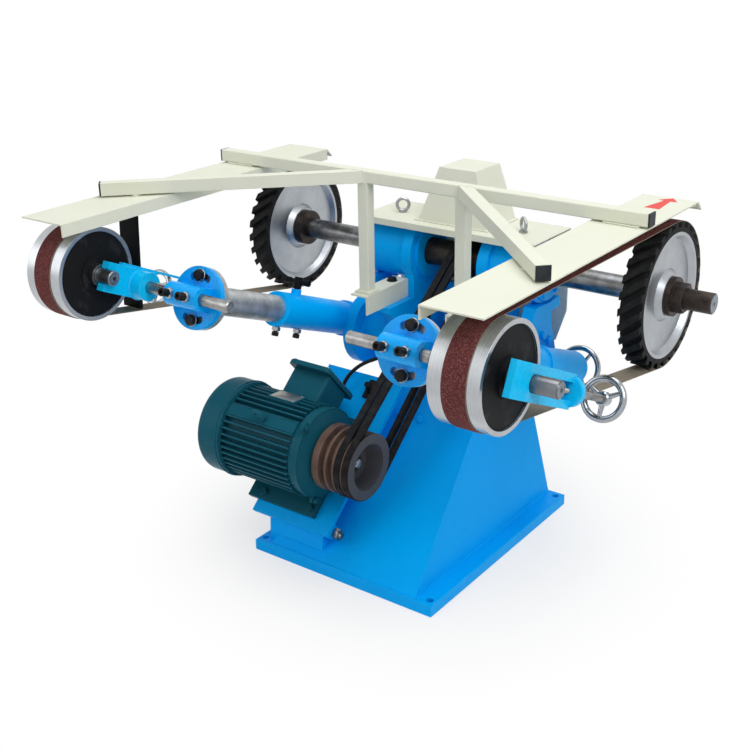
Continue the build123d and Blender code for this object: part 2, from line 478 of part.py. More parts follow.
with BuildPart() as right_belt_guard:
    guard_bottom = GUARD_TOP - SHEET
    block(GROUND, GUARD_X, GUARD_Y, (guard_bottom, GUARD_TOP))
    flange_x = (GUARD_X[0], GUARD_X[0] + SHEET)
    block(GROUND, flange_x, GUARD_Y, (GUARD_TOP - GUARD_FLANGE, GUARD_TOP))
    lip_reach = GUARD_LIP * sin(radians(45))
    lip_t = SHEET * sin(radians(45))
    with BuildSketch(ACROSS.offset(GUARD_X[0])):
        with BuildLine():
            Polyline(
                (GUARD_Y[1] - SHEET, GUARD_TOP),
                (GUARD_Y[1], GUARD_TOP),
                (GUARD_Y[1] + lip_reach, GUARD_TOP - lip_reach),
                (GUARD_Y[1] + lip_reach - lip_t, GUARD_TOP - lip_reach - lip_t),
                (GUARD_Y[1] - SHEET, guard_bottom),
                close=True,
            )
        make_face()
    extrude(amount=GUARD_X[1] - GUARD_X[0])
    pad_z = (GUARD_TOP, BAR_Z[0])
    block(GROUND, PAD_CROSS_X, BAR_Y, pad_z)
    pad_x, pad_y = ((at - PAD_HALF, at + PAD_HALF) for at in PAD_ARM)
    block(GROUND, pad_x, pad_y, pad_z)
save_sides(right_belt_guard.part, "belt_guard")

# Belts

with BuildPart() as right_abrasive_belt:
    for extra, mode in ((BELT_GAP + BELT_T, Mode.ADD), (BELT_GAP, Mode.SUBTRACT)):
        with BuildSketch(ACROSS.offset(BELT_X[0])):
            with Locations((SHAFT_Y, SHAFT_Z)):
                Circle(TYRE_R + extra)
            with Locations((AXLE_Y, AXLE_Z)):
                Circle(IDLER_R + extra)
            make_hull()
        extrude(amount=BELT_X[1] - BELT_X[0], mode=mode)
save_sides(right_abrasive_belt.part, "abrasive_belt")

with BuildPart() as v_belts:
    for middle in BELT_GROOVES:
        with BuildSketch(ACROSS.offset(middle - VBELT_TOP)):
            with Locations((SHAFT_Y, SHAFT_Z)):
                Circle(DRIVEN_R + VBELT_PROUD)
            with Locations((motor_y, motor_z)):
                Circle(MOTOR_PULLEY_R + VBELT_PROUD)
            make_hull()
        extrude(amount=2 * VBELT_TOP)
        for edge, floor in ((-VBELT_TOP, -VBELT_FLOOR), (VBELT_TOP, VBELT_FLOOR)):
            for at, radial in ((edge, 0), (floor, -VBELT_DEPTH)):
                with BuildSketch(ACROSS.offset(middle + at)):
                    with Locations((SHAFT_Y, SHAFT_Z)):
                        Circle(DRIVEN_R + radial)
                    with Locations((motor_y, motor_z)):
                        Circle(MOTOR_PULLEY_R + radial)
                    make_hull()
            loft(ruled=True, mode=Mode.SUBTRACT)
        with BuildSketch(ACROSS.offset(middle - VBELT_FLOOR)):
            with Locations((SHAFT_Y, SHAFT_Z)):
                Circle(DRIVEN_R - VBELT_DEPTH)
            with Locations((motor_y, motor_z)):
                Circle(MOTOR_PULLEY_R - VBELT_DEPTH)
            make_hull()
        extrude(amount=2 * VBELT_FLOOR, mode=Mode.SUBTRACT)
save(v_belts.part, "v_belts")

# Turning shaft

with BuildPart() as main_shaft:
    bar(SHAFT, -SHAFT_END_X, SHAFT_END_X, SHAFT_END_R)
    shaft_edges = main_shaft.edges().group_by(Axis.X)
    chamfer(shaft_edges[0] + shaft_edges[-1], EDGE)
    bar(SHAFT, -SHOULDER_X, SHOULDER_X, SHAFT_R)
save(main_shaft.part, "main_shaft")

wheel_faces = (WHEEL_X - WHEEL_W / 2, WHEEL_X + WHEEL_W / 2)

with BuildPart() as contact_hubs:
    inner, outer = wheel_faces
    hub_bore = SHAFT_Z + SHAFT_END_R + SEAT
    with BuildSketch(Plane.XZ.offset(-SHAFT_Y)):
        with BuildLine():
            Polyline(
                (inner, hub_bore),
                (inner, SHAFT_Z + HUB_BOSS_R),
                (inner + HUB_DISH, SHAFT_Z + HUB_BOSS_ROOT_R),
                (inner + HUB_DISH, SHAFT_Z + HUB_DISH_R),
                (inner, SHAFT_Z + HUB_MOUTH_R),
                (inner, SHAFT_Z + HUB_R),
                (outer, SHAFT_Z + HUB_R),
                (outer, SHAFT_Z + HUB_MOUTH_R),
                (outer - HUB_DISH, SHAFT_Z + HUB_DISH_R),
                (outer - HUB_DISH, SHAFT_Z + HUB_BOSS_ROOT_R),
                (outer, SHAFT_Z + HUB_BOSS_R),
                (outer, hub_bore),
                close=True,
            )
        make_face()
    revolve(axis=Axis((0, SHAFT_Y, SHAFT_Z), (1, 0, 0)))
    mirror(about=Plane.YZ)
save(contact_hubs.part, "contact_hubs")

with BuildPart() as contact_tyres:
    for side in (-1, 1):
        tyre_faces = sorted(side * face for face in wheel_faces)
        bar(SHAFT, *tyre_faces, TYRE_R)
        bar(SHAFT, *tyre_faces, HUB_R, mode=Mode.SUBTRACT)
        with Locations(SHAFT.location * Location((0, 0, side * WHEEL_X))):
            with PolarLocations(TYRE_R, SERRATIONS):
                Box(
                    2 * SERRATION_DEPTH,
                    SERRATION_W,
                    2 * WHEEL_W,
                    rotation=(SERRATION_SLANT, 0, 0),
                    mode=Mode.SUBTRACT,
                )
save(contact_tyres.part, "contact_tyres")

with BuildPart() as driven_pulley:
    with BuildSketch(Plane.XZ.offset(-SHAFT_Y)):
        with BuildLine():
            Polyline(
                (DRIVEN_X[0], SHAFT_Z + SHAFT_R + SEAT),
                (DRIVEN_X[0], SHAFT_Z + DRIVEN_R),
                *((x, SHAFT_Z + r) for x, r in groove_points(DRIVEN_R, BELT_GROOVES)),
                (DRIVEN_X[1], SHAFT_Z + DRIVEN_R),
                (DRIVEN_X[1], SHAFT_Z + SHAFT_R + SEAT),
                close=True,
            )
        make_face()
    revolve(axis=Axis((0, SHAFT_Y, SHAFT_Z), (1, 0, 0)))
save(driven_pulley.part, "driven_pulley")

with BuildPart() as spindle_collars:
    collar_end = wheel_faces[1] + OUTER_COLLAR_T
    spacer_end = HOUSING_X[0] + END_PLAY
    for spacer in ((DRIVEN_X[1], spacer_end), (-spacer_end, DRIVEN_X[0])):
        bar(SHAFT, *spacer, SPACER_R)
        bar(SHAFT, *spacer, SHAFT_R + SEAT, mode=Mode.SUBTRACT)
    for side in (-1, 1):
        turned = Plane(origin=SHAFT.origin, x_dir=(0, 1, 0), z_dir=(side, 0, 0))
        bar(turned, SHOULDER_X, wheel_faces[0], INNER_COLLAR_R)
        bar(turned, wheel_faces[1], collar_end, OUTER_COLLAR_R)
        hexagon(turned, collar_end, collar_end + NUT_T, NUT_AF)
        for sleeve in ((SHOULDER_X, wheel_faces[0]), (wheel_faces[1], collar_end + NUT_T)):
            bar(turned, *sleeve, SHAFT_END_R + SEAT, mode=Mode.SUBTRACT)
save(spindle_collars.part, "spindle_collars")

# Motor on its plate

with BuildPart() as motor_plate:
    block(PLATE, (0, PLATE_LENGTH), (-PLATE_T, 0), PLATE_X)
    pin_s = (PIN_Y - PLATE_Y) * plate_dir[1] + (PIN_Z - PLATE_Z) * plate_dir[2]
    pin_n = (PIN_Y - PLATE_Y) * plate_up[1] + (PIN_Z - PLATE_Z) * plate_up[2]
    for lug in LUG_X:
        bar(PLATE, *lug, LUG_R, pin_s, pin_n)
        block(PLATE, (pin_s - LUG_R, pin_s + LUG_R), (pin_n, -PLATE_T), lug)
    bar(PLATE, *PLATE_X, PIN_R + RUN, pin_s, pin_n, Mode.SUBTRACT)
    half_w, half_l = STUD_SLOT[0] / 2, STUD_SLOT[1] / 2
    slot_x = (STUD_X - half_w, STUD_X + half_w)
    block(PLATE, (STUD_S - half_l, STUD_S + half_l), (-PLATE_T, 0), slot_x, Mode.SUBTRACT)
    for bolt_x in RAIL_BOLT_X:
        for bolt_s in (MOTOR_S - RAIL_BOLT_OUT, MOTOR_S + RAIL_BOLT_OUT):
            bar(PLATE_FACE, -PLATE_T, 0, BOLT_R + SEAT, bolt_x, bolt_s, Mode.SUBTRACT)
save(motor_plate.part, "motor_plate")

ALL_OUT = (-FIN_R, FIN_R)
BELOW_FEET = (-2 * MOTOR_HEIGHT, -MOTOR_HEIGHT)
rail_top = RAIL_T - MOTOR_HEIGHT
cowl_bore_r = COWL_R - COWL_WALL

with BuildPart() as motor_frame:
    with BuildSketch(MOTOR.offset(FRAME_X[0])):
        Circle(FRAME_R)
        with PolarLocations((FIN_ROOT_R + FIN_R) / 2, FINS):
            Rectangle(FIN_R - FIN_ROOT_R, FIN_T)
    extrude(amount=FIN_END_X - FRAME_X[0])
    bar(MOTOR, FIN_END_X, FRAME_X[1], BAND_R)
    block(MOTOR, (-STRIP_HALF, STRIP_HALF), (FIN_ROOT_R, FIN_R), (FRAME_X[0], FIN_END_X))
    block(MOTOR, ALL_OUT, BELOW_FEET, FRAME_X, Mode.SUBTRACT)
    for side in (-1, 1):
        rail = sorted(side * out for out in RAIL_OUT)
        web = sorted(side * out for out in RAIL_WEB)
        block(MOTOR, rail, (-MOTOR_HEIGHT, rail_top), RAIL_X)
        block(MOTOR, web, (-MOTOR_HEIGHT, -RAIL_WEB[0]), RAIL_X)
    block(MOTOR, (0, BOX_OUT[0]), (-BOX_HALF, BOX_HALF), BOX_X)
    with Locations(MOTOR.location * Rotation(0, 0, NAMEPLATE_TURN)):
        with Locations((sum(NAMEPLATE_OUT) / 2, 0, sum(NAMEPLATE_X) / 2)):
            Box(
                NAMEPLATE_OUT[1] - NAMEPLATE_OUT[0],
                2 * NAMEPLATE_HALF,
                NAMEPLATE_X[1] - NAMEPLATE_X[0],
            )
    bar(MOTOR_UP, 0, MOTOR_EYE_OUT, MOTOR_EYE_BOSS_R, MOTOR_EYE_X)
    block(MOTOR, BOX_OUT, (-BOX_HALF, BOX_HALF), BOX_X, Mode.SUBTRACT)
    eye_hole = (MOTOR_EYE_OUT - MOTOR_EYE_SHANK, MOTOR_EYE_OUT)
    bar(MOTOR_UP, *eye_hole, BOLT_R + SEAT, MOTOR_EYE_X, mode=Mode.SUBTRACT)
    bar(MOTOR, *FRAME_X, ROTOR_BORE_R, mode=Mode.SUBTRACT)
    for bolt_x in RAIL_BOLT_X:
        for bolt_y in (-RAIL_BOLT_OUT, RAIL_BOLT_OUT):
            bar(MOTOR_UP, -MOTOR_HEIGHT, rail_top, BOLT_R + SEAT, bolt_x, bolt_y, Mode.SUBTRACT)
save(motor_frame.part, "motor_frame")

with BuildPart() as motor_end_shields:
    flange_end, nose_end = SHIELD_FRONT_X[1], SHIELD_FRONT_X[2]
    bar(MOTOR, SHIELD_FRONT_X[0], flange_end, SHIELD_R)
    with BuildSketch(MOTOR.offset(flange_end)):
        Circle(SHIELD_R - SHIELD_STEP)
    with BuildSketch(MOTOR.offset(nose_end)):
        Circle(SHIELD_NOSE_R)
    loft()
    bar(MOTOR, *SHIELD_REAR_X, cowl_bore_r - COWL_PLAY)
    with Locations(MOTOR.location * Location((0, 0, SHIELD_FRONT_X[0]))):
        with PolarLocations(sum(EAR_OUT) / 2, EARS, start_angle=EAR_FIRST):
            Box(EAR_OUT[1] - EAR_OUT[0], EAR_W, flange_end - SHIELD_FRONT_X[0], align=ON_END)
    block(MOTOR, ALL_OUT, BELOW_FEET, (SHIELD_REAR_X[0], nose_end), Mode.SUBTRACT)
    bar(MOTOR, SHIELD_REAR_X[0], nose_end, MOTOR_SHAFT_R + RUN, mode=Mode.SUBTRACT)
save(motor_end_shields.part, "motor_end_shields")

with BuildPart() as fan_cowl:
    bar(MOTOR, *COWL_X, COWL_R)
    fillet(fan_cowl.edges().group_by(Axis.X)[0], COWL_ROUND)
    bar(MOTOR, COWL_X[0] + COWL_ROUND, COWL_X[1], cowl_bore_r, mode=Mode.SUBTRACT)
    bar(MOTOR, COWL_X[0] + COWL_WALL, COWL_X[1], cowl_bore_r - COWL_ROUND, mode=Mode.SUBTRACT)
    with Locations(MOTOR.location * Location((0, 0, COWL_X[0]))):
        with PolarLocations(COWL_SLOT_PCR, COWL_SLOTS):
            Box(COWL_SLOT_L, COWL_SLOT_W, 4 * COWL_WALL, mode=Mode.SUBTRACT)
    block(MOTOR, ALL_OUT, BELOW_FEET, COWL_X, Mode.SUBTRACT)
save(fan_cowl.part, "fan_cowl")

with BuildPart() as terminal_box:
    block(MOTOR, BOX_OUT, (-BOX_HALF, BOX_HALF), BOX_X)
    block(
        MOTOR,
        (BOX_OUT[0] + BOX_WALL, BOX_OUT[1]),
        (BOX_WALL - BOX_HALF, BOX_HALF - BOX_WALL),
        (BOX_X[0] + BOX_WALL, BOX_X[1] - BOX_WALL),
        Mode.SUBTRACT,
    )
    fillet(terminal_box.edges().filter_by(OUT).group_by(SortBy.LENGTH)[-1], BOX_ROUND)
save(terminal_box.part, "terminal_box")

with BuildPart() as terminal_lid:
    block(MOTOR, LID_OUT, (-LID_HALF, LID_HALF), LID_X)
    fillet(terminal_lid.edges().filter_by(OUT), LID_ROUND)
    chamfer(terminal_lid.faces().sort_by(OUT)[-1].edges(), LID_EDGE)
save(terminal_lid.part, "terminal_lid")

with BuildPart() as cable_gland:
    bar(MOTOR_UP, *GLAND_UP, GLAND_R, GLAND_X, GLAND_OUT)
    hexagon(MOTOR_UP, GLAND_UP[1] - GLAND_NUT_T, GLAND_UP[1], GLAND_NUT_AF, GLAND_X, GLAND_OUT)
save(cable_gland.part, "cable_gland")

with BuildPart() as motor_bolts:
    for bolt_x in RAIL_BOLT_X:
        for bolt_y in (-RAIL_BOLT_OUT, RAIL_BOLT_OUT):
            bar(MOTOR_UP, -MOTOR_HEIGHT - PLATE_T, rail_top, BOLT_R, bolt_x, bolt_y)
            hexagon(MOTOR_UP, rail_top, rail_top + BOLT_HEAD_T, BOLT_AF, bolt_x, bolt_y)
    lifting_eye(MOTOR_UP, MOTOR_EYE_X, 0, MOTOR_EYE_OUT, MOTOR_EYE_SHANK, 0)
    for ear in range(EARS):
        turn = radians(EAR_FIRST + ear * 360 / EARS)
        bolt_out, bolt_up = EAR_BOLT_PCR * cos(turn), EAR_BOLT_PCR * sin(turn)
        hexagon(MOTOR, flange_end, flange_end + EAR_BOLT_T, EAR_BOLT_AF, bolt_out, bolt_up)
save(motor_bolts.part, "motor_bolts")

# The cable's points lie first in the motor's own axes (x, out, up), then in the machine's frame.
# Each bend takes the largest arc that its two runs leave room for.
CABLE_BEND = [
    (GLAND_X, GLAND_OUT, GLAND_UP[0]),
    (GLAND_X, GLAND_OUT, -75),
    (-214, 156, -88.7),
    (-213, 167, -98),
    (-210, 184, -102),
    (-205, 206, -99),
]
CABLE_RISE = [
    (-196, -30, 401),
    (-183, -14, 421),
    (-166, 6, 436),
    (-142, 32, 446),
    (-114, 62, 451),
    (-92, 94, 452),
    (-79, 127, 447),
    (-74, 154, 435),
    (CABLE_HOLE_X, 173, 417),
    (CABLE_HOLE_X, 184, 397),
]
CABLE_POINTS = [
    (x, motor_y + out * plate_dir[1] + up * plate_up[1], motor_z + out * plate_dir[2] + up * plate_up[2])
    for x, out, up in CABLE_BEND
] + CABLE_RISE
cable_runs = [Vector(*b) - Vector(*a) for a, b in zip(CABLE_POINTS, CABLE_POINTS[1:])]
cable_radii = [
    CABLE_ARC_SHARE * min(a.length, b.length) / tan(radians(a.get_angle(b) / 2))
    for a, b in zip(cable_runs, cable_runs[1:])
]

with BuildPart() as motor_cable:
    with BuildLine() as cable_line:
        FilletPolyline(*CABLE_POINTS, radius=cable_radii)
    with BuildSketch(Plane(origin=CABLE_POINTS[0], x_dir=(1, 0, 0), z_dir=cable_runs[0])):
        Circle(CABLE_R)
    sweep()
save(motor_cable.part, "motor_cable")
cable_length = sum(edge.length for edge in cable_line.edges())
print("cable radii", [round(radius, 1) for radius in cable_radii], "length", round(cable_length))

# Rotor

with BuildPart() as motor_shaft:
    bar(MOTOR, *MOTOR_SHAFT_X, MOTOR_SHAFT_R)
    bar(MOTOR, *ROTOR_X, ROTOR_R)
save(motor_shaft.part, "motor_shaft")

with BuildPart() as motor_pulley:
    with BuildSketch(Plane.XZ.offset(-motor_y)):
        bore = MOTOR_SHAFT_R + SEAT
        with BuildLine():
            Polyline(
                (PULLEY_X[0], motor_z + bore),
                (PULLEY_X[0], motor_z + MOTOR_PULLEY_R),
                *((x, motor_z + r) for x, r in groove_points(MOTOR_PULLEY_R, GROOVES)),
                (PULLEY_X[1], motor_z + MOTOR_PULLEY_R),
                (PULLEY_X[1], motor_z + PULLEY_DISH_R + PULLEY_DISH_FLARE),
                (PULLEY_DISH_X, motor_z + PULLEY_DISH_R),
                (PULLEY_DISH_X, motor_z + bore),
                close=True,
            )
        make_face()
    revolve(axis=Axis((0, motor_y, motor_z), (1, 0, 0)))
save(motor_pulley.part, "motor_pulley")

with BuildPart() as motor_fan:
    bar(MOTOR, FAN_X[1] - FAN_BLADE_T, FAN_X[1], FAN_R)
    bar(MOTOR, *FAN_X, FAN_HUB_R)
    blade_root_r = FAN_HUB_R - FAN_BLADE_T
    with Locations(MOTOR.location * Location((0, 0, FAN_X[0]))):
        with PolarLocations((FAN_R + blade_root_r) / 2, FAN_BLADES):
            Box(FAN_R - blade_root_r, FAN_BLADE_T, FAN_X[1] - FAN_X[0], align=ON_END)
    bar(MOTOR, *FAN_X, MOTOR_SHAFT_R + SEAT, mode=Mode.SUBTRACT)
save(motor_fan.part, "motor_fan")

# Sliding arms

with BuildPart() as arm_tube:
    bar(ARM, 0, FLANGE_T, FLANGE_R)
    bar(ARM, 0, TUBE_END_T, TUBE_R)
    bar(ARM, BORE_START_T, TUBE_END_T - PLUG_T, TUBE_BORE_R, mode=Mode.SUBTRACT)
    bar(ARM, BORE_START_T, TUBE_END_T, ARM_SCREW_R + RUN, mode=Mode.SUBTRACT)
    for at in (-SLOT_PCR, SLOT_PCR):
        bar(ARM, 0, FLANGE_T, DISC_BOLT_R + SEAT, 0, at, Mode.SUBTRACT)
save_sides(arm_tube.part, "arm_tube")

slot_arcs = [CenterArc((0, 0), SLOT_PCR, at - SLOT_ARC / 2, SLOT_ARC) for at in (90, 270)]

with BuildPart() as slotted_disc:
    bar(ARM, -DISC_T, 0, DISC_R)
    bar(ACROSS, *CLAMP_X, CLAMP_R, rod_y, rod_z)
    clamp_local = (CLAMP_X[0] - ARM_X, CLAMP_X[1] - ARM_X)
    block(ARM, clamp_local, (-CLAMP_R, CLAMP_R), (ROD_T, -DISC_T))
    bar(ACROSS, *CLAMP_X, ROD_R + RUN, rod_y, rod_z, Mode.SUBTRACT)
    with BuildSketch(ARM.offset(-DISC_T)):
        for arc in slot_arcs:
            SlotArc(arc, SLOT_W)
    extrude(amount=DISC_T, mode=Mode.SUBTRACT)
    for screw_x in CLAMP_SCREW_X:
        bar(ARM, ROD_T - CLAMP_R, ROD_T, BOLT_R + SEAT, screw_x - ARM_X, 0, Mode.SUBTRACT)
save_sides(slotted_disc.part, "slotted_disc")

with BuildPart() as adjuster_bolts:
    for at in (-SLOT_PCR, SLOT_PCR):
        washer_face = -DISC_T - DISC_WASHER_T
        bar(ARM, washer_face, -DISC_T, DISC_WASHER_R, 0, at)
        hexagon(ARM, washer_face - DISC_BOLT_HEAD_T, washer_face, DISC_BOLT_AF, 0, at)
        bar(ARM, -DISC_T, FLANGE_T, DISC_BOLT_R, 0, at)
        hexagon(ARM, FLANGE_T, FLANGE_T + DISC_NUT_T, DISC_BOLT_AF, 0, at)
    clamp_front = ROD_T - CLAMP_R
    head_end = clamp_front - CLAMP_SCREW_REACH
    for screw_x in CLAMP_SCREW_X:
        bar(ARM, head_end, ROD_T - ROD_R - CLAMP_SCREW_GAP, BOLT_R, screw_x - ARM_X)
        hexagon(ARM, clamp_front - CLAMP_NUT_T, clamp_front, CLAMP_NUT_AF, screw_x - ARM_X)
        bar(ARM, head_end, head_end + CLAMP_HEAD_T, CLAMP_HEAD_R, screw_x - ARM_X)
save_sides(adjuster_bolts.part, "adjuster_bolts")

with BuildPart() as cross_rod:
    bar(ACROSS, *ROD_X, ROD_R, rod_y, rod_z)
    chamfer(cross_rod.edges().group_by(Axis.X)[0], EDGE)
save_sides(cross_rod.part, "cross_rod")

with BuildPart() as yoke:
    with BuildSketch(YOKE.offset(INNER_PLATE_X[0])):
        with Locations((sum(INNER_PLATE_U) / 2, 0)):
            Rectangle(INNER_PLATE_U[1] - INNER_PLATE_U[0], 2 * YOKE_HALF)
        with Locations((INNER_SLOT_U, 0)):
            Circle(YOKE_SLOT, mode=Mode.SUBTRACT)
        mouth = INNER_SLOT_U - INNER_PLATE_U[0]
        with Locations((INNER_SLOT_U - mouth / 2, 0)):
            Rectangle(mouth, 2 * YOKE_SLOT, mode=Mode.SUBTRACT)
    extrude(amount=INNER_PLATE_X[1] - INNER_PLATE_X[0])
    with BuildSketch(YOKE.offset(OUTER_PLATE_X[0])):
        with Locations((sum(OUTER_PLATE_U) / 2, 0)):
            Rectangle(OUTER_PLATE_U[1] - OUTER_PLATE_U[0], 2 * YOKE_HALF)
        slot_start = OUTER_SLOT_U[0] + YOKE_SLOT
        with Locations((slot_start, 0)):
            Circle(YOKE_SLOT, mode=Mode.SUBTRACT)
        with Locations(((slot_start + OUTER_SLOT_U[1]) / 2, 0)):
            Rectangle(OUTER_SLOT_U[1] - slot_start, 2 * YOKE_SLOT, mode=Mode.SUBTRACT)
    extrude(amount=OUTER_PLATE_X[1] - OUTER_PLATE_X[0])
    with BuildSketch(YOKE_TOP):
        with BuildLine():
            Polyline(
                (OUTER_PLATE_X[1] - OUTER_BEVEL_T, OUTER_PLATE_U[0]),
                (OUTER_PLATE_X[1], OUTER_PLATE_U[0]),
                (OUTER_PLATE_X[1], OUTER_PLATE_U[0] + OUTER_BEVEL),
                close=True,
            )
        make_face()
    extrude(amount=YOKE_HALF, both=True, mode=Mode.SUBTRACT)
    block(YOKE, BRIDGE_U, (-YOKE_HALF, YOKE_HALF), (INNER_PLATE_X[0], OUTER_PLATE_X[0]))
    bar(SCREW, *YOKE_END_U, YOKE_END_R)
    bar(ACROSS, *ROD_BOSS_X, ROD_BOSS_R, rod_y, rod_z)
    block(YOKE, STEADY_U, STEADY_V, STEADY_X)
    bar(ACROSS, *ROD_X, ROD_R + SEAT, rod_y, rod_z, Mode.SUBTRACT)
    bar(SCREW, *YOKE_END_U, SCREW_R + RUN, mode=Mode.SUBTRACT)
save_sides(yoke.part, "yoke")

bridge_top = YOKE.from_local_coords((BRIDGE_U[1], YOKE_HALF, 0))
bridge_middle = YOKE.from_local_coords((BRIDGE_U[1], 0, 0))

with BuildPart() as spark_plate:
    with BuildSketch(ACROSS.offset(SPARK_X[0])):
        with BuildLine():
            Polyline(
                SPARK_FOOT,
                SPARK_HEAD,
                (SPARK_HEAD[0] + SPARK_T, SPARK_HEAD[1]),
                (SPARK_FOOT[0] + SPARK_T, SPARK_FOOT[1]),
                close=True,
            )
        make_face()
        with BuildLine():
            Polyline(
                (bridge_top.Y, bridge_top.Z),
                (bridge_middle.Y, bridge_middle.Z),
                (SPARK_FOOT[0] + SPARK_T, bridge_middle.Z),
                (SPARK_FOOT[0] + SPARK_T, bridge_top.Z),
                close=True,
            )
        make_face()
    extrude(amount=SPARK_X[1] - SPARK_X[0])
save(spark_plate.part, "spark_plate")

with BuildPart() as axle:
    bar(ACROSS, *AXLE_X, AXLE_R, AXLE_Y, AXLE_Z)
    axle_edges = axle.edges().group_by(Axis.X)
    chamfer(axle_edges[0] + axle_edges[-1], EDGE)
    for collar in AXLE_COLLARS:
        bar(ACROSS, *collar, AXLE_COLLAR_R, AXLE_Y, AXLE_Z)
    bar(SCREW, -AXLE_COLLAR_R, AXLE_COLLAR_R, SCREW_R + RUN, mode=Mode.SUBTRACT)
save_sides(axle.part, "axle")

with BuildPart() as idler_drum:
    bar(ACROSS, *IDLER_X, IDLER_R, AXLE_Y, AXLE_Z)
    for start in (IDLER_X[0], IDLER_X[1] - IDLER_DISH):
        with BuildSketch(ACROSS.offset(start)):
            with Locations((AXLE_Y, AXLE_Z)):
                Circle(IDLER_FACE_R)
                Circle(IDLER_HUB_R, mode=Mode.SUBTRACT)
        extrude(amount=IDLER_DISH, mode=Mode.SUBTRACT)
    bar(ACROSS, *IDLER_X, AXLE_R + RUN, AXLE_Y, AXLE_Z, Mode.SUBTRACT)
save_sides(idler_drum.part, "idler_drum")

with BuildPart() as tension_handwheel:
    bar(SCREW, *SCREW_U, SCREW_R)
    bar(SCREW, SCREW_U[1], TENSION_WHEEL_U, SCREW_ROD_R)
    hand_wheel(SCREW, TENSION_WHEEL_U, TENSION_RIM_R, TENSION_SPOKE)
save_sides(tension_handwheel.part, "tension_handwheel")

with BuildPart() as arm_handwheel:
    bar(ARM, ARM_SCREW_T, ARM_WHEEL_T, ARM_SCREW_R)
    bar(ARM, SLEEVE_T[1] + END_PLAY, SLEEVE_T[1] + ARM_COLLAR_T, ARM_COLLAR_R)
    hand_wheel(ARM, ARM_WHEEL_T, ARM_RIM_R, ARM_SPOKE)
save_sides(arm_handwheel.part, "arm_handwheel")

with BuildPart() as t_handle:
    bar(ARM_UP, TUBE_R + END_PLAY, T_BAR_H, T_SCREW_R)
    bar(ARM_UP, *T_HUB_H, T_HUB_R)
    with Locations(ARM_UP.location * Location((0, 0, T_BAR_H))):
        Cylinder(T_BAR_R, T_BAR_L, rotation=(0, 90, 0))
    for end in (-T_BAR_L / 2, T_BAR_L / 2 - T_KNOB_L):
        with Locations(ARM_UP.location * Location((end, 0, T_BAR_H))):
            Cylinder(T_KNOB_R, T_KNOB_L, rotation=(0, 90, 0), align=ON_END)
save_sides(t_handle.part, "t_handle")
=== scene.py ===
from functools import partial
from itertools import product
from math import cos, pi, radians, sin

import bmesh
import bpy
import numpy as np
from mathutils import Matrix, Vector


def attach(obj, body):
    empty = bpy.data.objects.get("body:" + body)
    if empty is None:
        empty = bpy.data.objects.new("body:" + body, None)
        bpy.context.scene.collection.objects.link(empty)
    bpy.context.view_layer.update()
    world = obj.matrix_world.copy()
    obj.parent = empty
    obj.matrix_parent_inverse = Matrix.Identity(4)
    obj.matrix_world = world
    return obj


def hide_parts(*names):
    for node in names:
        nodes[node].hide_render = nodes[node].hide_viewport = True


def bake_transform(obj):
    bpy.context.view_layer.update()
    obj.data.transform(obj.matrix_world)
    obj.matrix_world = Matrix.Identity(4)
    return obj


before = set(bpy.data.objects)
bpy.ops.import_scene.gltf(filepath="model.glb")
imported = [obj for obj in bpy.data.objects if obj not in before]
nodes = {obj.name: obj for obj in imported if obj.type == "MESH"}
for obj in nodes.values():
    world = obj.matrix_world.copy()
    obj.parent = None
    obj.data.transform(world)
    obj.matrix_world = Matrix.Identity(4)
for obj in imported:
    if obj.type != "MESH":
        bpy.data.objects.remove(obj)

# Lengths are in millimetres, as in the part's source, and become metres where a mesh is made.
MM = 0.001
SIDES = ("left", "right")
scene = bpy.context.scene
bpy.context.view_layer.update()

# Camera: the eye point, heading, dip, roll and focal length in pixels of a 750 by 750 picture

EYE = (1573.4, -2297.8, 1608.8)
HEADING, DIP, ROLL = radians(36.49), radians(22.71), radians(-0.93)
FOCAL_PIXELS, PICTURE_PIXELS, SENSOR, FAR_METRES = 1176.34, 750, 36, 50

ahead = Vector((-sin(HEADING) * cos(DIP), cos(HEADING) * cos(DIP), -sin(DIP)))
level = Vector((cos(HEADING), sin(HEADING), 0))
over = level.cross(ahead)
right = cos(ROLL) * level + sin(ROLL) * over
above = cos(ROLL) * over - sin(ROLL) * level
lens = bpy.data.cameras.new("camera")
lens.sensor_width = SENSOR
lens.lens = FOCAL_PIXELS / PICTURE_PIXELS * SENSOR
lens.clip_end = FAR_METRES
camera = bpy.data.objects.new("camera", lens)
aim = Matrix((right, above, -ahead)).transposed().to_4x4()
camera.matrix_world = Matrix.Translation(Vector(EYE) * MM) @ aim
scene.collection.objects.link(camera)
scene.camera = camera

# Places on the machine, as in the part's source: an origin and three axes, the last along the piece


def place(origin, along, across=(1, 0, 0)):
    """Origin and axes of a local frame: the third is along, the first across, the second their product."""
    along, across = np.array(along, float), np.array(across, float)
    return np.array(origin, float), np.stack((across, np.cross(along, across), along))


def put(spot, local):
    """Local points of a place in the machine's frame: origin plus each coordinate times its axis."""
    origin, axes = spot
    return origin + np.asarray(local, float) @ axes


def moved(spot, x=0, y=0):
    """The same place, moved along its first and second axes."""
    origin, axes = spot
    return origin + x * axes[0] + y * axes[1], axes


def slope(angle):
    """Directions along and square to a line that rises by this angle towards the back."""
    return np.array((0, cos(angle), sin(angle))), np.array((0, -sin(angle), cos(angle)))


def on_side(side, grids):
    """Surfaces drawn for the right side: on the left, x changes sign."""
    flip = np.array((-1.0 if side == "left" else 1.0, 1.0, 1.0))
    return [(grid * flip, material) for grid, material in grids]


def on_both(grids):
    """Surfaces drawn for the right side, on the right and on the left."""
    return grids + on_side("left", grids)


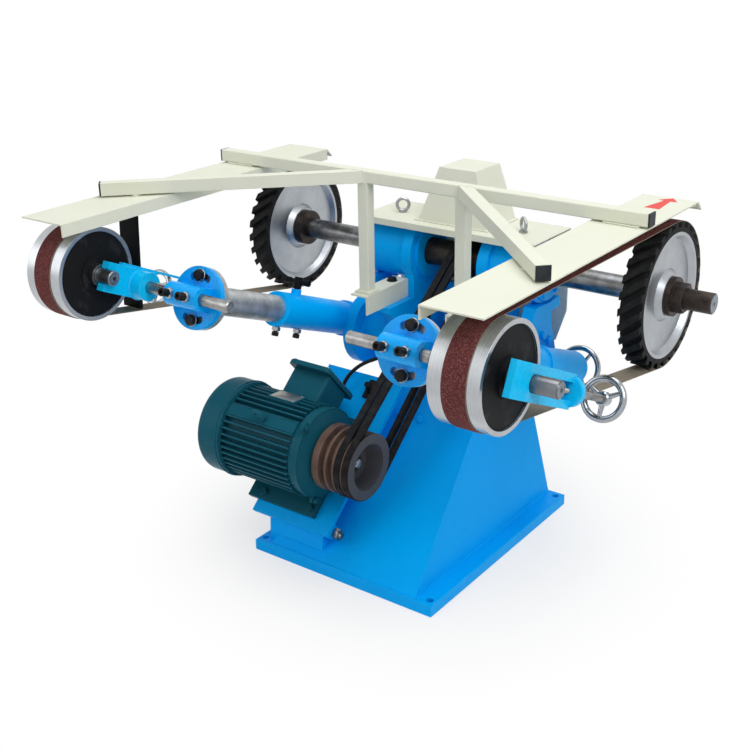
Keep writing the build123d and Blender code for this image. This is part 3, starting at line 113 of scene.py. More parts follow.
ARM_DIP, YOKE_DIP, PLATE_TILT = radians(21.4), radians(25), radians(41)
SHAFT_Y, SHAFT_Z = 215, 705
AXLE_Y, AXLE_Z = -579, 780
ARM_X, DISC_Y, DISC_Z, SCREW_X = 298, -447, 721, 644
PLATE_Y, PLATE_Z, MOTOR_S, MOTOR_HEIGHT = -325, 108, 172, 112
arm_dir, arm_up = slope(-ARM_DIP)
yoke_dir = slope(-YOKE_DIP)[0]
plate_dir, plate_up = slope(PLATE_TILT)
hinge_at = np.array((0, PLATE_Y, PLATE_Z))
motor_at = hinge_at + MOTOR_S * plate_dir + MOTOR_HEIGHT * plate_up
motor_y, motor_z = motor_at[1:]
disc_at = np.array((ARM_X, DISC_Y, DISC_Z))
ARM = place(disc_at, arm_dir)
SCREW = place((SCREW_X, AXLE_Y, AXLE_Z), yoke_dir)
SHAFT = place((0, SHAFT_Y, SHAFT_Z), (1, 0, 0), (0, 1, 0))
MOTOR = place(motor_at, (1, 0, 0), plate_dir)

# Materials


def linear(colour):
    """A colour written as sRGB hex, as linear red, green, blue and alpha."""
    channels = np.array([int(colour[start:start + 2], 16) for start in (1, 3, 5)]) / 255
    lifted = np.where(channels <= 0.04045, channels / 12.92, ((channels + 0.055) / 1.055) ** 2.4)
    return (*lifted.tolist(), 1.0)


def per(size):
    """The scale of a pattern of this size in millimetres: how often it comes in a metre."""
    return 1 / (size * MM)


def add_node(tree, kind, inputs=None, **settings):
    """Adds one shader node with its settings. An input is a value, a colour in hex, a socket, or a node whose
    first live output feeds it."""
    node = tree.nodes.new(f"ShaderNode{kind}")
    for key, value in settings.items():
        setattr(node, key, value)
    for name, value in (inputs or {}).items():
        if isinstance(value, bpy.types.Node):
            value = next(socket for socket in value.outputs if socket.enabled)
        if isinstance(value, bpy.types.NodeSocket):
            tree.links.new(value, node.inputs[name])
        else:
            node.inputs[name].default_value = linear(value) if isinstance(value, str) else value
    return node


def start_finish(name):
    """A new material, the function that adds nodes to it, and the piece's own coordinates in metres."""
    material = bpy.data.materials.new(name)
    material.use_nodes = True
    material.node_tree.nodes.clear()
    add = partial(add_node, material.node_tree)
    return material, add, add("TexCoord").outputs["Object"]


def end_finish(add, inputs, height, depth, under=None, strength=1.0):
    """The shader with these inputs, shown by its output. The height bends its normal, or the normal under it,
    and is so many millimetres deep."""
    relief = {"Height": height, "Distance": depth * MM, "Strength": strength}
    if under is not None:
        relief["Normal"] = under
    shader = add("BsdfPrincipled", {**inputs, "Normal": add("Bump", relief)})
    add("OutputMaterial", {"Surface": shader})


def enamel(name, colour, worn, peel, lumps, gloss, rub, specular=0.06):
    """Sprayed machine enamel: cloudy colour, orange peel over the casting's lumps, and edges rubbed thin."""
    material, add, at = start_finish(name)
    clouds = add("TexNoise", {"Vector": at, "Scale": per(160), "Detail": 3.0})
    streaks = add("TexNoise", {"Vector": at, "Scale": per(18), "Detail": 6.0, "Roughness": 0.7})
    dimples = add("TexNoise", {"Vector": at, "Scale": per(3.5), "Detail": 1.0})
    casting = add("TexNoise", {"Vector": at, "Scale": per(9), "Detail": 3.0})
    rounded = add("Bevel", {"Radius": 1.8 * MM}, samples=4)
    flat = add("NewGeometry")
    bend = add("VectorMath", {0: rounded, 1: flat.outputs["Normal"]}, operation="DOT_PRODUCT")
    edge = add("MapRange", {"Value": bend, "From Min": 0.995, "From Max": 0.85})
    chip = add("MapRange", {"Value": streaks, "From Min": 0.5 - rub, "From Max": 0.7 - rub})
    bare = add("Math", {0: edge, 1: chip}, operation="MULTIPLY")
    body = add("Mix", {"Factor": clouds, "A": colour[0], "B": colour[1]}, data_type="RGBA")
    painted = add("Mix", {"Factor": bare, "A": body, "B": worn}, data_type="RGBA")
    shine = add("MapRange", {"Value": streaks, "From Min": 0.3, "From Max": 0.7, "To Min": gloss - 0.06,
                             "To Max": gloss + 0.08})
    cast = add("Bump", {"Height": casting, "Distance": lumps * MM, "Normal": rounded})
    end_finish(add, {"Base Color": painted, "Roughness": shine, "Specular IOR Level": specular},
               dimples, peel, cast)
    return material


def ground_steel(name, colour, gloss, lay, stain):
    """Machined bar: grey metal with fine tool lines round the bar, which lies along lay, and oil stains."""
    material, add, at = start_finish(name)
    squeeze = [per(20)] * 3
    squeeze["xyz".index(lay)] = per(0.6)
    stretched = add("Mapping", {"Vector": at, "Scale": squeeze})
    lines = add("TexNoise", {"Vector": stretched, "Scale": 1.0, "Detail": 2.0})
    stains = add("TexNoise", {"Vector": at, "Scale": per(30), "Detail": 5.0, "Roughness": 0.65})
    patch = add("MapRange", {"Value": stains, "From Min": 0.35, "From Max": 0.7})
    tint = add("Mix", {"Factor": patch, "A": colour, "B": stain}, data_type="RGBA")
    shine = add("MapRange", {"Value": lines, "To Min": gloss - 0.08, "To Max": gloss + 0.1})
    rounded = add("Bevel", {"Radius": 1 * MM}, samples=4)
    end_finish(add, {"Base Color": tint, "Roughness": shine, "Metallic": 1.0}, lines, 0.02, rounded)
    return material


def turned_metal(name, centre, colour, gloss, groove, metallic=1.0, face=None):
    """Metal turned on a lathe about an X axis through centre: rings whose tone depends on the radius alone.
    Where face is given, its colour covers what looks along the axis within its radius, and the hub."""
    material, add, at = start_finish(name)
    off = add("VectorMath", {0: at, 1: (0, centre[0] * MM, centre[1] * MM)}, operation="SUBTRACT")
    flat = add("VectorMath", {0: off, 1: (0, 1, 1)}, operation="MULTIPLY")
    radius = add("VectorMath", {0: flat}, operation="LENGTH")
    apart = add("SeparateXYZ", {0: at})
    reach = add("Math", {0: radius, 1: apart}, operation="ADD")
    rings = add("TexNoise", {"W": reach, "Scale": per(groove), "Detail": 4.0}, noise_dimensions="1D")
    smears = add("TexNoise", {"Vector": at, "Scale": per(50), "Detail": 5.0, "Roughness": 0.6})
    tone = add("Math", {0: rings, 1: smears}, operation="MULTIPLY")
    shade = add("MapRange", {"Value": tone, "From Min": 0.12, "From Max": 0.4})
    metal = add("Mix", {"Factor": shade, "A": colour[0], "B": colour[1]}, data_type="RGBA")
    shine = add("MapRange", {"Value": rings, "To Min": gloss - 0.1, "To Max": gloss + 0.12})
    rounded = add("Bevel", {"Radius": 1.5 * MM}, samples=4)
    look = {"Base Color": metal, "Roughness": shine, "Metallic": metallic}
    if face:
        face_radius, face_colour, face_rough, least_slope, hub_share = face
        facing = add("SeparateXYZ", {0: add("NewGeometry").outputs["True Normal"]})
        square = add("Math", {0: facing}, operation="ABSOLUTE")
        end_face = add("Math", {0: square, 1: least_slope}, operation="GREATER_THAN")
        hub = add("Math", {0: radius, 1: hub_share * face_radius * MM}, operation="LESS_THAN")
        facing_out = add("Math", {0: end_face, 1: hub}, operation="MAXIMUM")
        inside = add("Math", {0: radius, 1: face_radius * MM}, operation="LESS_THAN")
        covered = add("Math", {0: facing_out, 1: inside}, operation="MULTIPLY")
        scuffs = add("MapRange", {"Value": smears, "From Min": 0.55, "From Max": 0.85})
        coat = add("Mix", {"Factor": scuffs, "A": face_colour, "B": "#3A3B3D"}, data_type="RGBA")
        tint = add("Mix", {"Factor": covered, "A": look["Base Color"], "B": coat}, data_type="RGBA")
        dull = add("Mix", {"Factor": covered, "A": look["Roughness"], "B": face_rough})
        bright = add("Math", {0: metallic, 1: covered}, operation="SUBTRACT", use_clamp=True)
        look = {"Base Color": tint, "Roughness": dull, "Metallic": bright}
    end_finish(add, {**look, "Specular IOR Level": 0.12}, rings, 0.03, rounded)
    return material


def moulded(name, colour, dusty, grain, rough, depth, metallic=0.0):
    """Moulded rubber, plastic or blackened steel: near-black with a fine grain and a bloom of grey dust."""
    material, add, at = start_finish(name)
    bloom = add("TexNoise", {"Vector": at, "Scale": per(20), "Detail": 6.0, "Roughness": 0.7})
    pores = add("TexNoise", {"Vector": at, "Scale": per(grain), "Detail": 2.0})
    veil = add("MapRange", {"Value": bloom, "From Min": 0.4, "From Max": 0.8})
    tint = add("Mix", {"Factor": veil, "A": colour, "B": dusty}, data_type="RGBA")
    shine = add("MapRange", {"Value": bloom, "To Min": rough - 0.1, "To Max": rough + 0.15})
    rounded = add("Bevel", {"Radius": 1.2 * MM}, samples=4)
    look = {"Base Color": tint, "Roughness": shine, "Metallic": metallic, "Specular IOR Level": 0.15}
    end_finish(add, look, pores, depth, rounded)
    return material


def plated(name, colour, dull, gloss):
    """Plated steel: a bright metal film with faint polishing swirls and finger smears."""
    material, add, at = start_finish(name)
    smears = add("TexNoise", {"Vector": at, "Scale": per(12), "Detail": 5.0, "Roughness": 0.65})
    swirl = add("TexNoise", {"Vector": at, "Scale": per(3), "Detail": 2.0, "Distortion": 1.5})
    tint = add("Mix", {"Factor": smears, "A": colour, "B": dull}, data_type="RGBA")
    shine = add("MapRange", {"Value": smears, "From Min": 0.3, "From Max": 0.75, "To Min": gloss,
                             "To Max": gloss + 0.18})
    end_finish(add, {"Base Color": tint, "Roughness": shine, "Metallic": 1.0}, swirl, 0.03)
    return material


def abrasive_cloth():
    """Abrasive belt: outside, red-brown grit, each grain with its own tone and a paler glint; inside, woven
    cotton, streaked along the belt. The side attribute is 1 outside, the UV map is in metres."""
    material, add, _ = start_finish("aluminium_oxide_cloth")
    along = add("UVMap", uv_map="along_belt")
    outside = add("Attribute", attribute_name="side").outputs["Fac"]
    # Real grit is about 0.4 mm; it is drawn at 1.5 mm so that it shows in a picture of the whole machine.
    grit = add("TexVoronoi", {"Vector": along, "Scale": per(1.5)})
    glint = add("MapRange", {"Value": grit.outputs["Color"], "From Min": 0.62, "From Max": 1.0})
    patches = add("TexNoise", {"Vector": along, "Scale": per(30), "Detail": 4.0})
    deep = add("Mix", {"Factor": patches, "A": "#522829", "B": "#6C3C3C"}, data_type="RGBA")
    grains = add("Mix", {"Factor": glint, "A": deep, "B": "#9A6C67"}, data_type="RGBA")
    stretched = add("Mapping", {"Vector": along, "Scale": (per(60), per(1.5), 1)})
    threads = add("TexNoise", {"Vector": stretched, "Scale": 1.0, "Detail": 4.0})
    cloth = add("Mix", {"Factor": threads, "A": "#6E6457", "B": "#A79E8E"}, data_type="RGBA")
    tint = add("Mix", {"Factor": outside, "A": cloth, "B": grains}, data_type="RGBA")
    relief = add("Mix", {"Factor": outside, "A": threads, "B": grit.outputs["Distance"]})
    end_finish(add, {"Base Color": tint, "Roughness": 0.72, "Specular IOR Level": 0.03}, relief, 0.25)
    return material


def wrapped_rubber():
    """V-belt: black rubber in a fabric jacket, with diagonal threads and worn, greyer patches."""
    material, add, _ = start_finish("fabric_wrapped_rubber")
    along = add("UVMap", uv_map="along_belt")
    slant = (0, 0, radians(45))
    slanted = add("Mapping", {"Vector": along, "Rotation": slant, "Scale": (per(1.6), per(1.6), 1)})
    weave = add("TexChecker", {"Vector": slanted, "Scale": 1.0})
    worn = add("TexNoise", {"Vector": along, "Scale": per(20), "Detail": 5.0})
    veil = add("MapRange", {"Value": worn, "From Min": 0.4, "From Max": 0.8})
    tint = add("Mix", {"Factor": veil, "A": "#121214", "B": "#2C2D30"}, data_type="RGBA")
    end_finish(add, {"Base Color": tint, "Roughness": 0.68, "Specular IOR Level": 0.12},
               weave.outputs["Fac"], 0.12, strength=0.6)
    return material


# Sprayed over castings and plate: saturated blue, its gloss broken by orange peel, paler on rubbed edges.
sky_blue_enamel = enamel("sky_blue_enamel", ("#00A6FA", "#00B0FF"), "#5CB8F2", 0.10, 0.35, 0.30, 0.02)
# The same sky blue paint over the forks, painted lighter and greener as painted light, with the same orange
# peel.
sky_blue_painted_light_enamel = enamel("sky_blue_painted_light_enamel", ("#05B4EC", "#0CC2F8"), "#7FDCF8",
                           0.14, 0.60, 0.26, 0.02, 0.16)
# The same blue over the rough cast discs: lumpy, with wet-looking glints.
cast_blue_enamel = enamel("cast_blue_enamel", ("#009FF2", "#06AEFF"), "#6CC4F6",
                          0.16, 0.70, 0.24, 0.02, 0.20)
# Sprayed over folded sheet and square tube: warm off-white, satin, with some brown cut edges.
cream_enamel = enamel("cream_enamel", ("#D9DBCA", "#E2E4D5"), "#9A907A", 0.06, 0.05, 0.44, 0.0)
# Sprayed over a ribbed iron casting: deep blue-green with a soft gloss and a grainy skin.
teal_enamel = enamel("teal_enamel", ("#145060", "#1A5C6E"), "#3D7C84", 0.12, 0.30, 0.32, 0.0)
# Brushed over flat bar and the clamp handle: black with brush marks and greyer edges.
black_enamel = enamel("black_enamel", ("#0E0F10", "#161719"), "#4A4A4C", 0.08, 0.10, 0.40, 0.0)
# Ground bar: bright grey with fine rings.
ground_bar = ground_steel("ground_steel_bar", "#A3A4A4", 0.28, "x", "#7C7A77")
# Drawn tube, scale still on it: dull mid grey, mottled.
drawn_tube = ground_steel("drawn_steel_tube", "#D2D6DA", 0.46, "y", "#A8A49E")
# Oiled shaft steel: grey, shiny, with darker streaks.
oiled_shaft = ground_steel("oiled_shaft_steel", "#808386", 0.28, "x", "#5A5856")
# Faced ends of bars: bright rings left by the lathe tool.
faced_steel = ground_steel("faced_steel_ends", "#8E98A4", 0.34, "y", "#6E757E")
# Stamped aluminium plate, left blank: brushed along its length.
blank_plate = ground_steel("brushed_aluminium_plate", "#B9B8B2", 0.36, "x", "#999690")
# Blackened steel of the shaft ends, collars and nuts: warm near-black with a waxy shine.
blackened_steel = moulded("blackened_steel", "#3A3432", "#544B45", 1.2, 0.42, 0.05, 0.8)
# Black-oxide socket screws: dense black, slightly shiny.
black_oxide = moulded("black_oxide_screws", "#1A1A1C", "#343436", 0.8, 0.36, 0.03, 0.6)
# Zinc-plated nuts, washers and bolts: light grey metal.
zinc_plate = plated("zinc_plate", "#B9BBBC", "#8C8E90", 0.24)
# Chromed handwheels: near-mirror with faint smears.
chrome_plate = plated("chrome_plate", "#B4B8BC", "#8B9096", 0.07)
# Turned aluminium of the contact wheels: pale, silky, with lathe rings.
turned_aluminium = turned_metal("turned_aluminium", (SHAFT_Y, SHAFT_Z), ("#9FA4A9", "#B9BDC1"), 0.36, 1.6)
# Turned aluminium drum with black-painted ends, whose paint runs over the sloping dish.
painted_drum = turned_metal("turned_aluminium_black_ends", (AXLE_Y, AXLE_Z), ("#A9ADB1", "#C4C7CA"),
                            0.30, 1.4, face=(100.2, "#131416", 0.55, 0.15, 0.6))
# Turned grey iron with a brown film of rust: matt rings, and a cleaner grey end face.
rusty_iron = turned_metal("turned_cast_iron", (motor_y, motor_z), ("#54443C", "#786258"),
                          0.52, 1.0, 0.55, face=(90, "#4C4E53", 0.48, 0.97, 0.67))
# The upper pulley, out of the light: the same iron as the lower pulley, painted darker as painted shade.
painted_shade_driven_iron = turned_metal("turned_cast_iron_upper_painted_shade", (SHAFT_Y, SHAFT_Z), ("#3A2A24", "#5C443A"),
                           0.52, 1.0, 0.55)
# Axle steel: dark drawn bar with a bluish film.
axle_steel = turned_metal("blued_axle_steel", (AXLE_Y, AXLE_Z), ("#606266", "#8A8C90"), 0.32, 0.8)
# Moulded tread rubber: dull black with grey dust in the teeth.
tread_rubber = moulded("moulded_tread_rubber", "#131415", "#2B2B2B", 2.0, 0.66, 0.10)
# PVC cable sheath: black with a soft shine.
pvc_sheath = moulded("pvc_cable_sheath", "#101012", "#232325", 0.6, 0.40, 0.01)
# Moulded polyethylene caps and fan: black, slightly waxy.
black_plastic = moulded("moulded_black_plastic", "#26292C", "#3C4044", 0.7, 0.42, 0.03)
# Red vinyl film for the arrow.
red_vinyl = moulded("red_vinyl_film", "#D92D22", "#E2493C", 0.5, 0.34, 0.01)
belt_cloth = abrasive_cloth()
vbelt_rubber = wrapped_rubber()

COATS = {
    sky_blue_enamel: ["base_plate", "pedestal", "motor_hinge_bracket", "saddle", "bearing_housings",
                      "bearing_caps", "arm_brackets", "motor_plate"],
    # The forks and their welds take the sky blue painted lighter as painted light.
    sky_blue_painted_light_enamel: ["left_yoke", "right_yoke"],
    cast_blue_enamel: ["left_slotted_disc", "right_slotted_disc"],
    cream_enamel: ["pulley_cover", "pulley_hood", "guard_crossbar", "guard_posts", "guard_arms",
                   "left_belt_guard", "right_belt_guard"],
    teal_enamel: ["motor_frame", "motor_end_shields", "fan_cowl", "terminal_box", "terminal_lid",
                  "motor_bolts"],
    black_enamel: ["spark_plate", "left_t_handle", "right_t_handle"],
    ground_bar: ["left_cross_rod", "right_cross_rod", "motor_shaft", "motor_hinge_pin", "spindle_bearings"],
    drawn_tube: ["left_arm_tube", "right_arm_tube"],
    oiled_shaft: ["main_shaft"],
    blackened_steel: ["spindle_collars"],
    zinc_plate: ["eye_bolts"],
    turned_aluminium: ["contact_hubs"],
    painted_drum: ["left_idler_drum", "right_idler_drum"],
    tread_rubber: ["contact_tyres"],
    black_plastic: ["tube_end_caps", "motor_fan", "cable_gland"],
    rusty_iron: ["motor_pulley"],
    # The upper pulley takes the iron painted darker as painted shade.
    painted_shade_driven_iron: ["driven_pulley"],
    axle_steel: ["left_axle", "right_axle"],
}
for coat, names in COATS.items():
    for name in names:
        for slot in nodes[name].material_slots:
            slot.material = coat

# Surfaces

MERGE_DISTANCE, SMOOTH_DEGREES, SOCKET_DEPTH, BROKEN_EDGE = 0.002, 38, 6, 0.8


def quads_of(index):
    """Faces of a grid of points: four neighbours make one."""
    return np.stack((index[:-1, :-1], index[:-1, 1:], index[1:, 1:], index[1:, :-1]), -1)


def skin(name, grids, body=None, sharp=SMOOTH_DEGREES):
    """One piece from surfaces over two parameters. Each grid holds rows of points in millimetres, and comes
    with its material. Points that meet at seams and poles become one."""
    corners, faces, finish, start = [], [], [], 0
    materials = list(dict.fromkeys(material for _, material in grids))
    for grid, material in grids:
        rows, columns = grid.shape[:2]
        quads = quads_of(start + np.arange(rows * columns).reshape(rows, columns)).reshape(-1, 4)
        corners.append(grid.reshape(-1, 3))
        faces.append(quads)
        finish.append(np.full(len(quads), materials.index(material)))
        start += rows * columns
    mesh = bpy.data.meshes.new(name)
    mesh.from_pydata((np.concatenate(corners) * MM).tolist(), [], np.concatenate(faces).tolist())
    for material in materials:
        mesh.materials.append(material)
    mesh.polygons.foreach_set("material_index", np.concatenate(finish).astype(np.int32))
    return closed(name, mesh, body, sharp)


def closed(name, mesh, body=None, sharp=SMOOTH_DEGREES):
    """The mesh as a piece on its body: seams merged, faces outwards, smooth up to the sharp angle."""
    mending = bmesh.new()
    mending.from_mesh(mesh)
    loose = [point for point in mending.verts if not point.link_faces]
    bmesh.ops.delete(mending, geom=loose, context="VERTS")
    bmesh.ops.remove_doubles(mending, verts=mending.verts, dist=MERGE_DISTANCE * MM)
    bmesh.ops.recalc_face_normals(mending, faces=mending.faces)
    mending.to_mesh(mesh)
    mending.free()
    mesh.shade_smooth()
    mesh.set_sharp_from_angle(angle=radians(sharp))
    piece = bpy.data.objects.new(name, mesh)
    scene.collection.objects.link(piece)
    if body:
        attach(piece, body)
    return piece


def unit(vectors):
    """Vectors of length one in the same directions."""
    return vectors / np.linalg.norm(vectors, axis=-1, keepdims=True)


def distance_run(line):
    """How far along a line of points each of them is."""
    return np.concatenate(([0], np.cumsum(np.linalg.norm(np.diff(line, axis=0), axis=1))))


def circle(steps):
    """Angles once round, in so many steps."""
    return np.linspace(0, 2 * pi, steps + 1)


def around(reach, angle, height):
    """Points round a third axis: reach times the angle's cosine and sine, and the height."""
    return np.stack(np.broadcast_arrays(reach * np.cos(angle), reach * np.sin(angle), height), -1)


def capped(rows):
    """A tube of rows closed at both ends: each end row is followed by one shrunk to its middle."""
    first = np.broadcast_to(rows[0].mean(0), rows[0].shape)
    last = np.broadcast_to(rows[-1].mean(0), rows[-1].shape)
    return np.concatenate((first[None], rows, last[None]))


def turned(spot, profile, steps=48):
    """Lathe shape on a place's third axis: profile rows are height, radius and width across flats. The radius
    at an angle is the lesser of the row's radius and, where it has flats, half their width over the cosine
    of the angle to the nearest flat's middle."""
    height, radius, across = np.array(profile, float).T[:, :, None]
    angle = circle(steps)[None]
    off_flat = (angle + pi / 6) % (pi / 3) - pi / 6
    flats = np.where(across > 0, across / 2 / np.cos(off_flat), np.inf)
    return put(spot, around(np.minimum(radius, flats), angle, height))


def tube(points, radius, steps):
    """Round tube along points: each row is a circle square to the run, of one radius or one per point."""
    points = np.asarray(points, float)
    run = unit(np.gradient(points, axis=0))
    first = unit(np.cross(run, np.eye(3)[np.argmin(np.abs(run).max(0))]))
    second = np.cross(run, first)
    angle = circle(steps)[None, :, None]
    reach = np.broadcast_to(np.asarray(radius, float), (len(points),))[:, None, None]
    ring = np.cos(angle) * first[:, None] + np.sin(angle) * second[:, None]
    return capped(points[:, None] + reach * ring)


def bead(start, end, size, pitch=5):
    """Weld along a straight seam: a round section that swells once every pitch, the swell running back from
    crown to toe, and that shrinks at both ends as the square root of the distance to them."""
    start, end = np.asarray(start, float), np.asarray(end, float)
    length = np.linalg.norm(end - start)
    s = np.linspace(0, length, max(12, int(length / pitch * 5)))[:, None]
    run = (end - start) / length
    first = unit(np.cross(run, np.eye(3)[np.argmin(np.abs(run))]))
    second = np.cross(run, first)
    angle = circle(10)[None]
    ends = np.sqrt(np.clip(np.minimum(s, length - s) / size, 0.02, 1))
    reach = size * ends * (1 + 0.10 * np.sin(2 * pi * (s / pitch + 0.25 * np.cos(angle))))
    across = np.cos(angle)[..., None] * first + np.sin(angle)[..., None] * second
    return capped(start + s[..., None] * run + reach[..., None] * across)


def ring_bead(spot, radius, height, size, pitch):
    """Weld round a bar on a place's third axis: a ring of round section that swells once every pitch."""
    turns = round(2 * pi * radius / pitch)
    angle, section = circle(4 * turns)[:, None], circle(8)[None]
    thick = size * (1 + 0.10 * np.sin(turns * angle + 1.2 * np.cos(section)))
    return put(spot, around(radius + thick * np.cos(section), angle, height + thick * np.sin(section)))


def thread(spot, low, high, radius, pitch=2.0):
    """Screw thread on a place's third axis: the radius falls and rises once in every pitch, and the height at
    which it does so climbs one pitch in a turn."""
    height = np.linspace(low, high, int((high - low) / pitch * 4))[:, None]
    angle = circle(16)[None]
    phase = (height / pitch - angle / (2 * pi)) % 1
    return capped(put(spot, around(radius - 0.5 * pitch * np.abs(2 * phase - 1), angle, height)))


def slab(spot, middle, half, rows, power):
    """Rounded plate on a place: each row is a height and an inset, and its outline a superellipse of the half
    widths less the inset, cosine and sine raised to two over the power with their signs kept."""
    height, inset = np.array(rows, float).T[:, :, None]
    angle = circle(64)[None]
    waves = np.cos(angle), np.sin(angle)
    x, y = (at + (reach - inset) * np.sign(wave) * np.abs(wave) ** (2 / power)
            for at, reach, wave in zip(middle, half, waves))
    return capped(put(spot, np.stack(np.broadcast_arrays(x, y, height), -1)))


def hexagon(low, high, across):
    """Profile of a nut or bolt head: six flats, and a round chamfer at the high end."""
    corner, rim = across / 2 / cos(pi / 6), 0.475 * across
    soft = 0.06 * across * np.sign(high - low)
    return [(low, 0, 0), (low, corner, across), (high - soft, corner, across),
            (high, rim, across), (high, 0, 0)]


def socket_head(low, high, radius):
    """Profile of a socket screw's head: a broken edge and a six-sided socket as wide as the radius."""
    out = np.sign(high - low)
    deep = high - SOCKET_DEPTH * out
    return [(low, 0, 0), (low, radius, 0), (high - out, radius, 0), (high, radius - 1, 0),
            (high, radius, radius), (deep, radius, radius), (deep, 0, 0)]


def plug(low, high, radius, soft, inset):
    """Profile of a washer or round head: its high edge falls by inset over the last soft of its height."""
    shoulder = high - soft * np.sign(high - low)
    return [(low, 0, 0), (low, radius, 0), (shoulder, radius, 0), (high, radius - inset, 0), (high, 0, 0)]


def rod(low, high, radius):
    """Profile of a plain round bar with broken edges."""
    inner = radius - BROKEN_EDGE
    return [(low, 0, 0), (low, inner, 0), (low + BROKEN_EDGE, radius, 0), (high - BROKEN_EDGE, radius, 0),
            (high, inner, 0), (high, 0, 0)]


def belt_loop(centre_a, radius_a, centre_b, radius_b, step):
    """Line of a belt over two wheels in the YZ plane: an arc on each and the outer tangents between them.
    Gives the points and outward normals in steps of about the length asked for, then the row where the
    belt leaves the first wheel and the number of steps in a straight run."""
    a, b = np.array(centre_a, float), np.array(centre_b, float)
    apart = np.linalg.norm(b - a)
    heading = np.arctan2(*(b - a)[::-1])
    half = np.arccos((radius_a - radius_b) / apart)
    span = np.sqrt(apart**2 - (radius_a - radius_b) ** 2)
    arc_a = np.linspace(heading + half, heading + 2 * pi - half, int(radius_a * 2 * (pi - half) / step))
    arc_b = np.linspace(heading - half, heading + half, int(radius_b * 2 * half / step))
    straight = np.linspace(0, 1, int(span / step))[1:-1, None]
    out_a, out_b = (np.stack((np.cos(arc), np.sin(arc)), -1) for arc in (arc_a, arc_b))
    on_a, on_b = a + radius_a * out_a, b + radius_b * out_b
    line = np.concatenate((on_a, on_a[-1] + straight * (on_b[0] - on_a[-1]), on_b,
                           on_b[-1] + straight * (on_a[0] - on_b[-1]), on_a[:1]))
    normal = np.concatenate((out_a, out_b[:1].repeat(len(straight), 0), out_b,
                             out_b[-1:].repeat(len(straight), 0), out_a[:1]))
    return line, normal, len(arc_a) - 1, len(straight) + 1


def belt(name, loop, profile, material, outside=(), stretches=None):
    """A belt, or its stretches between pairs of rows: the profile's points (across, out) carried round the
    loop, with a cap wherever a stretch ends away from the loop's own seam. Its UV map runs along and round
    the belt in metres, and the side attribute is 1 on the faces whose profile edge is outside."""
    line, normal = loop[:2]
    profile = np.array(profile, float)
    across, out = profile.T
    yz = line[:, None] + normal[:, None] * out[None, :, None]
    grid = np.concatenate((np.broadcast_to(across[None, :, None], (*yz.shape[:2], 1)), yz), -1)
    rows, columns = grid.shape[:2]
    index = np.arange(rows * columns).reshape(rows, columns)
    stretches = stretches or [(0, rows - 1)]
    bands = np.concatenate([quads_of(index)[first:last] for first, last in stretches]).reshape(-1, 4)
    caps = index[[row for stretch in stretches for row in stretch if 0 < row < rows - 1], :-1]
    mesh = bpy.data.meshes.new(name)
    mesh.from_pydata((grid.reshape(-1, 3) * MM).tolist(), [], bands.tolist() + caps.tolist())
    u, v = np.meshgrid(distance_run(line), distance_run(profile), indexing="ij")
    corners = np.stack((u.ravel(), v.ravel()), -1)[np.concatenate((bands.ravel(), caps.ravel()))] * MM
    mesh.uv_layers.new(name="along_belt").data.foreach_set("uv", corners.astype(np.float32).ravel())
    facing = np.tile(np.isin(np.arange(columns - 1), outside), len(bands) // (columns - 1))
    facing = np.concatenate((facing, np.zeros(len(caps)))).astype(np.float32)
    mesh.attributes.new("side", "FLOAT", "FACE").data.foreach_set("value", facing)
    mesh.materials.append(material)
    return closed(name, mesh)


# Cable: the route's points from the part's source, in the motor's axes (x, out, up), then in the machine's

CABLE_BEND = np.array([
    (-215, 150, -62), (-215, 150, -75), (-214, 156, -88.7), (-213, 167, -98), (-210, 184, -102),
    (-205, 206, -99),
])
CABLE_RISE = np.array([
    (-196, -30, 401), (-183, -14, 421), (-166, 6, 436), (-142, 32, 446), (-114, 62, 451), (-92, 94, 452),
    (-79, 127, 447), (-74, 154, 435), (-72, 173, 417), (-72, 184, 397),
])
CABLE_LENGTH, CABLE_R = 0.412, 5
from_gland = motor_at + CABLE_BEND @ np.stack(((1, 0, 0), plate_dir, plate_up))
route = np.concatenate((from_gland, CABLE_RISE))
route_curve = bpy.data.curves.new("cable_route", "CURVE")
route_curve.dimensions = "3D"
route_curve.resolution_u = 12
spline = route_curve.splines.new("NURBS")
spline.points.add(len(route) - 1)
weighted = np.concatenate((route * MM, np.ones((len(route), 1))), 1)
spline.points.foreach_set("co", weighted.astype(np.float32).ravel())
spline.order_u = 3
spline.use_endpoint_u = True
route_line = bpy.data.objects.new("cable_route", route_curve)
route_mesh = bpy.data.meshes.new_from_object(route_line)
cable_line = np.zeros(len(route_mesh.vertices) * 3, np.float32)
route_mesh.vertices.foreach_get("co", cable_line)
cable_line = cable_line.reshape(-1, 3).astype(float)
bpy.data.objects.remove(route_line)
bpy.data.meshes.remove(route_mesh)
cable = skin("motor_cable_sheath", [(tube(cable_line / MM, CABLE_R, 16), pvc_sheath)])
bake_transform(cable)
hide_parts("motor_cable")
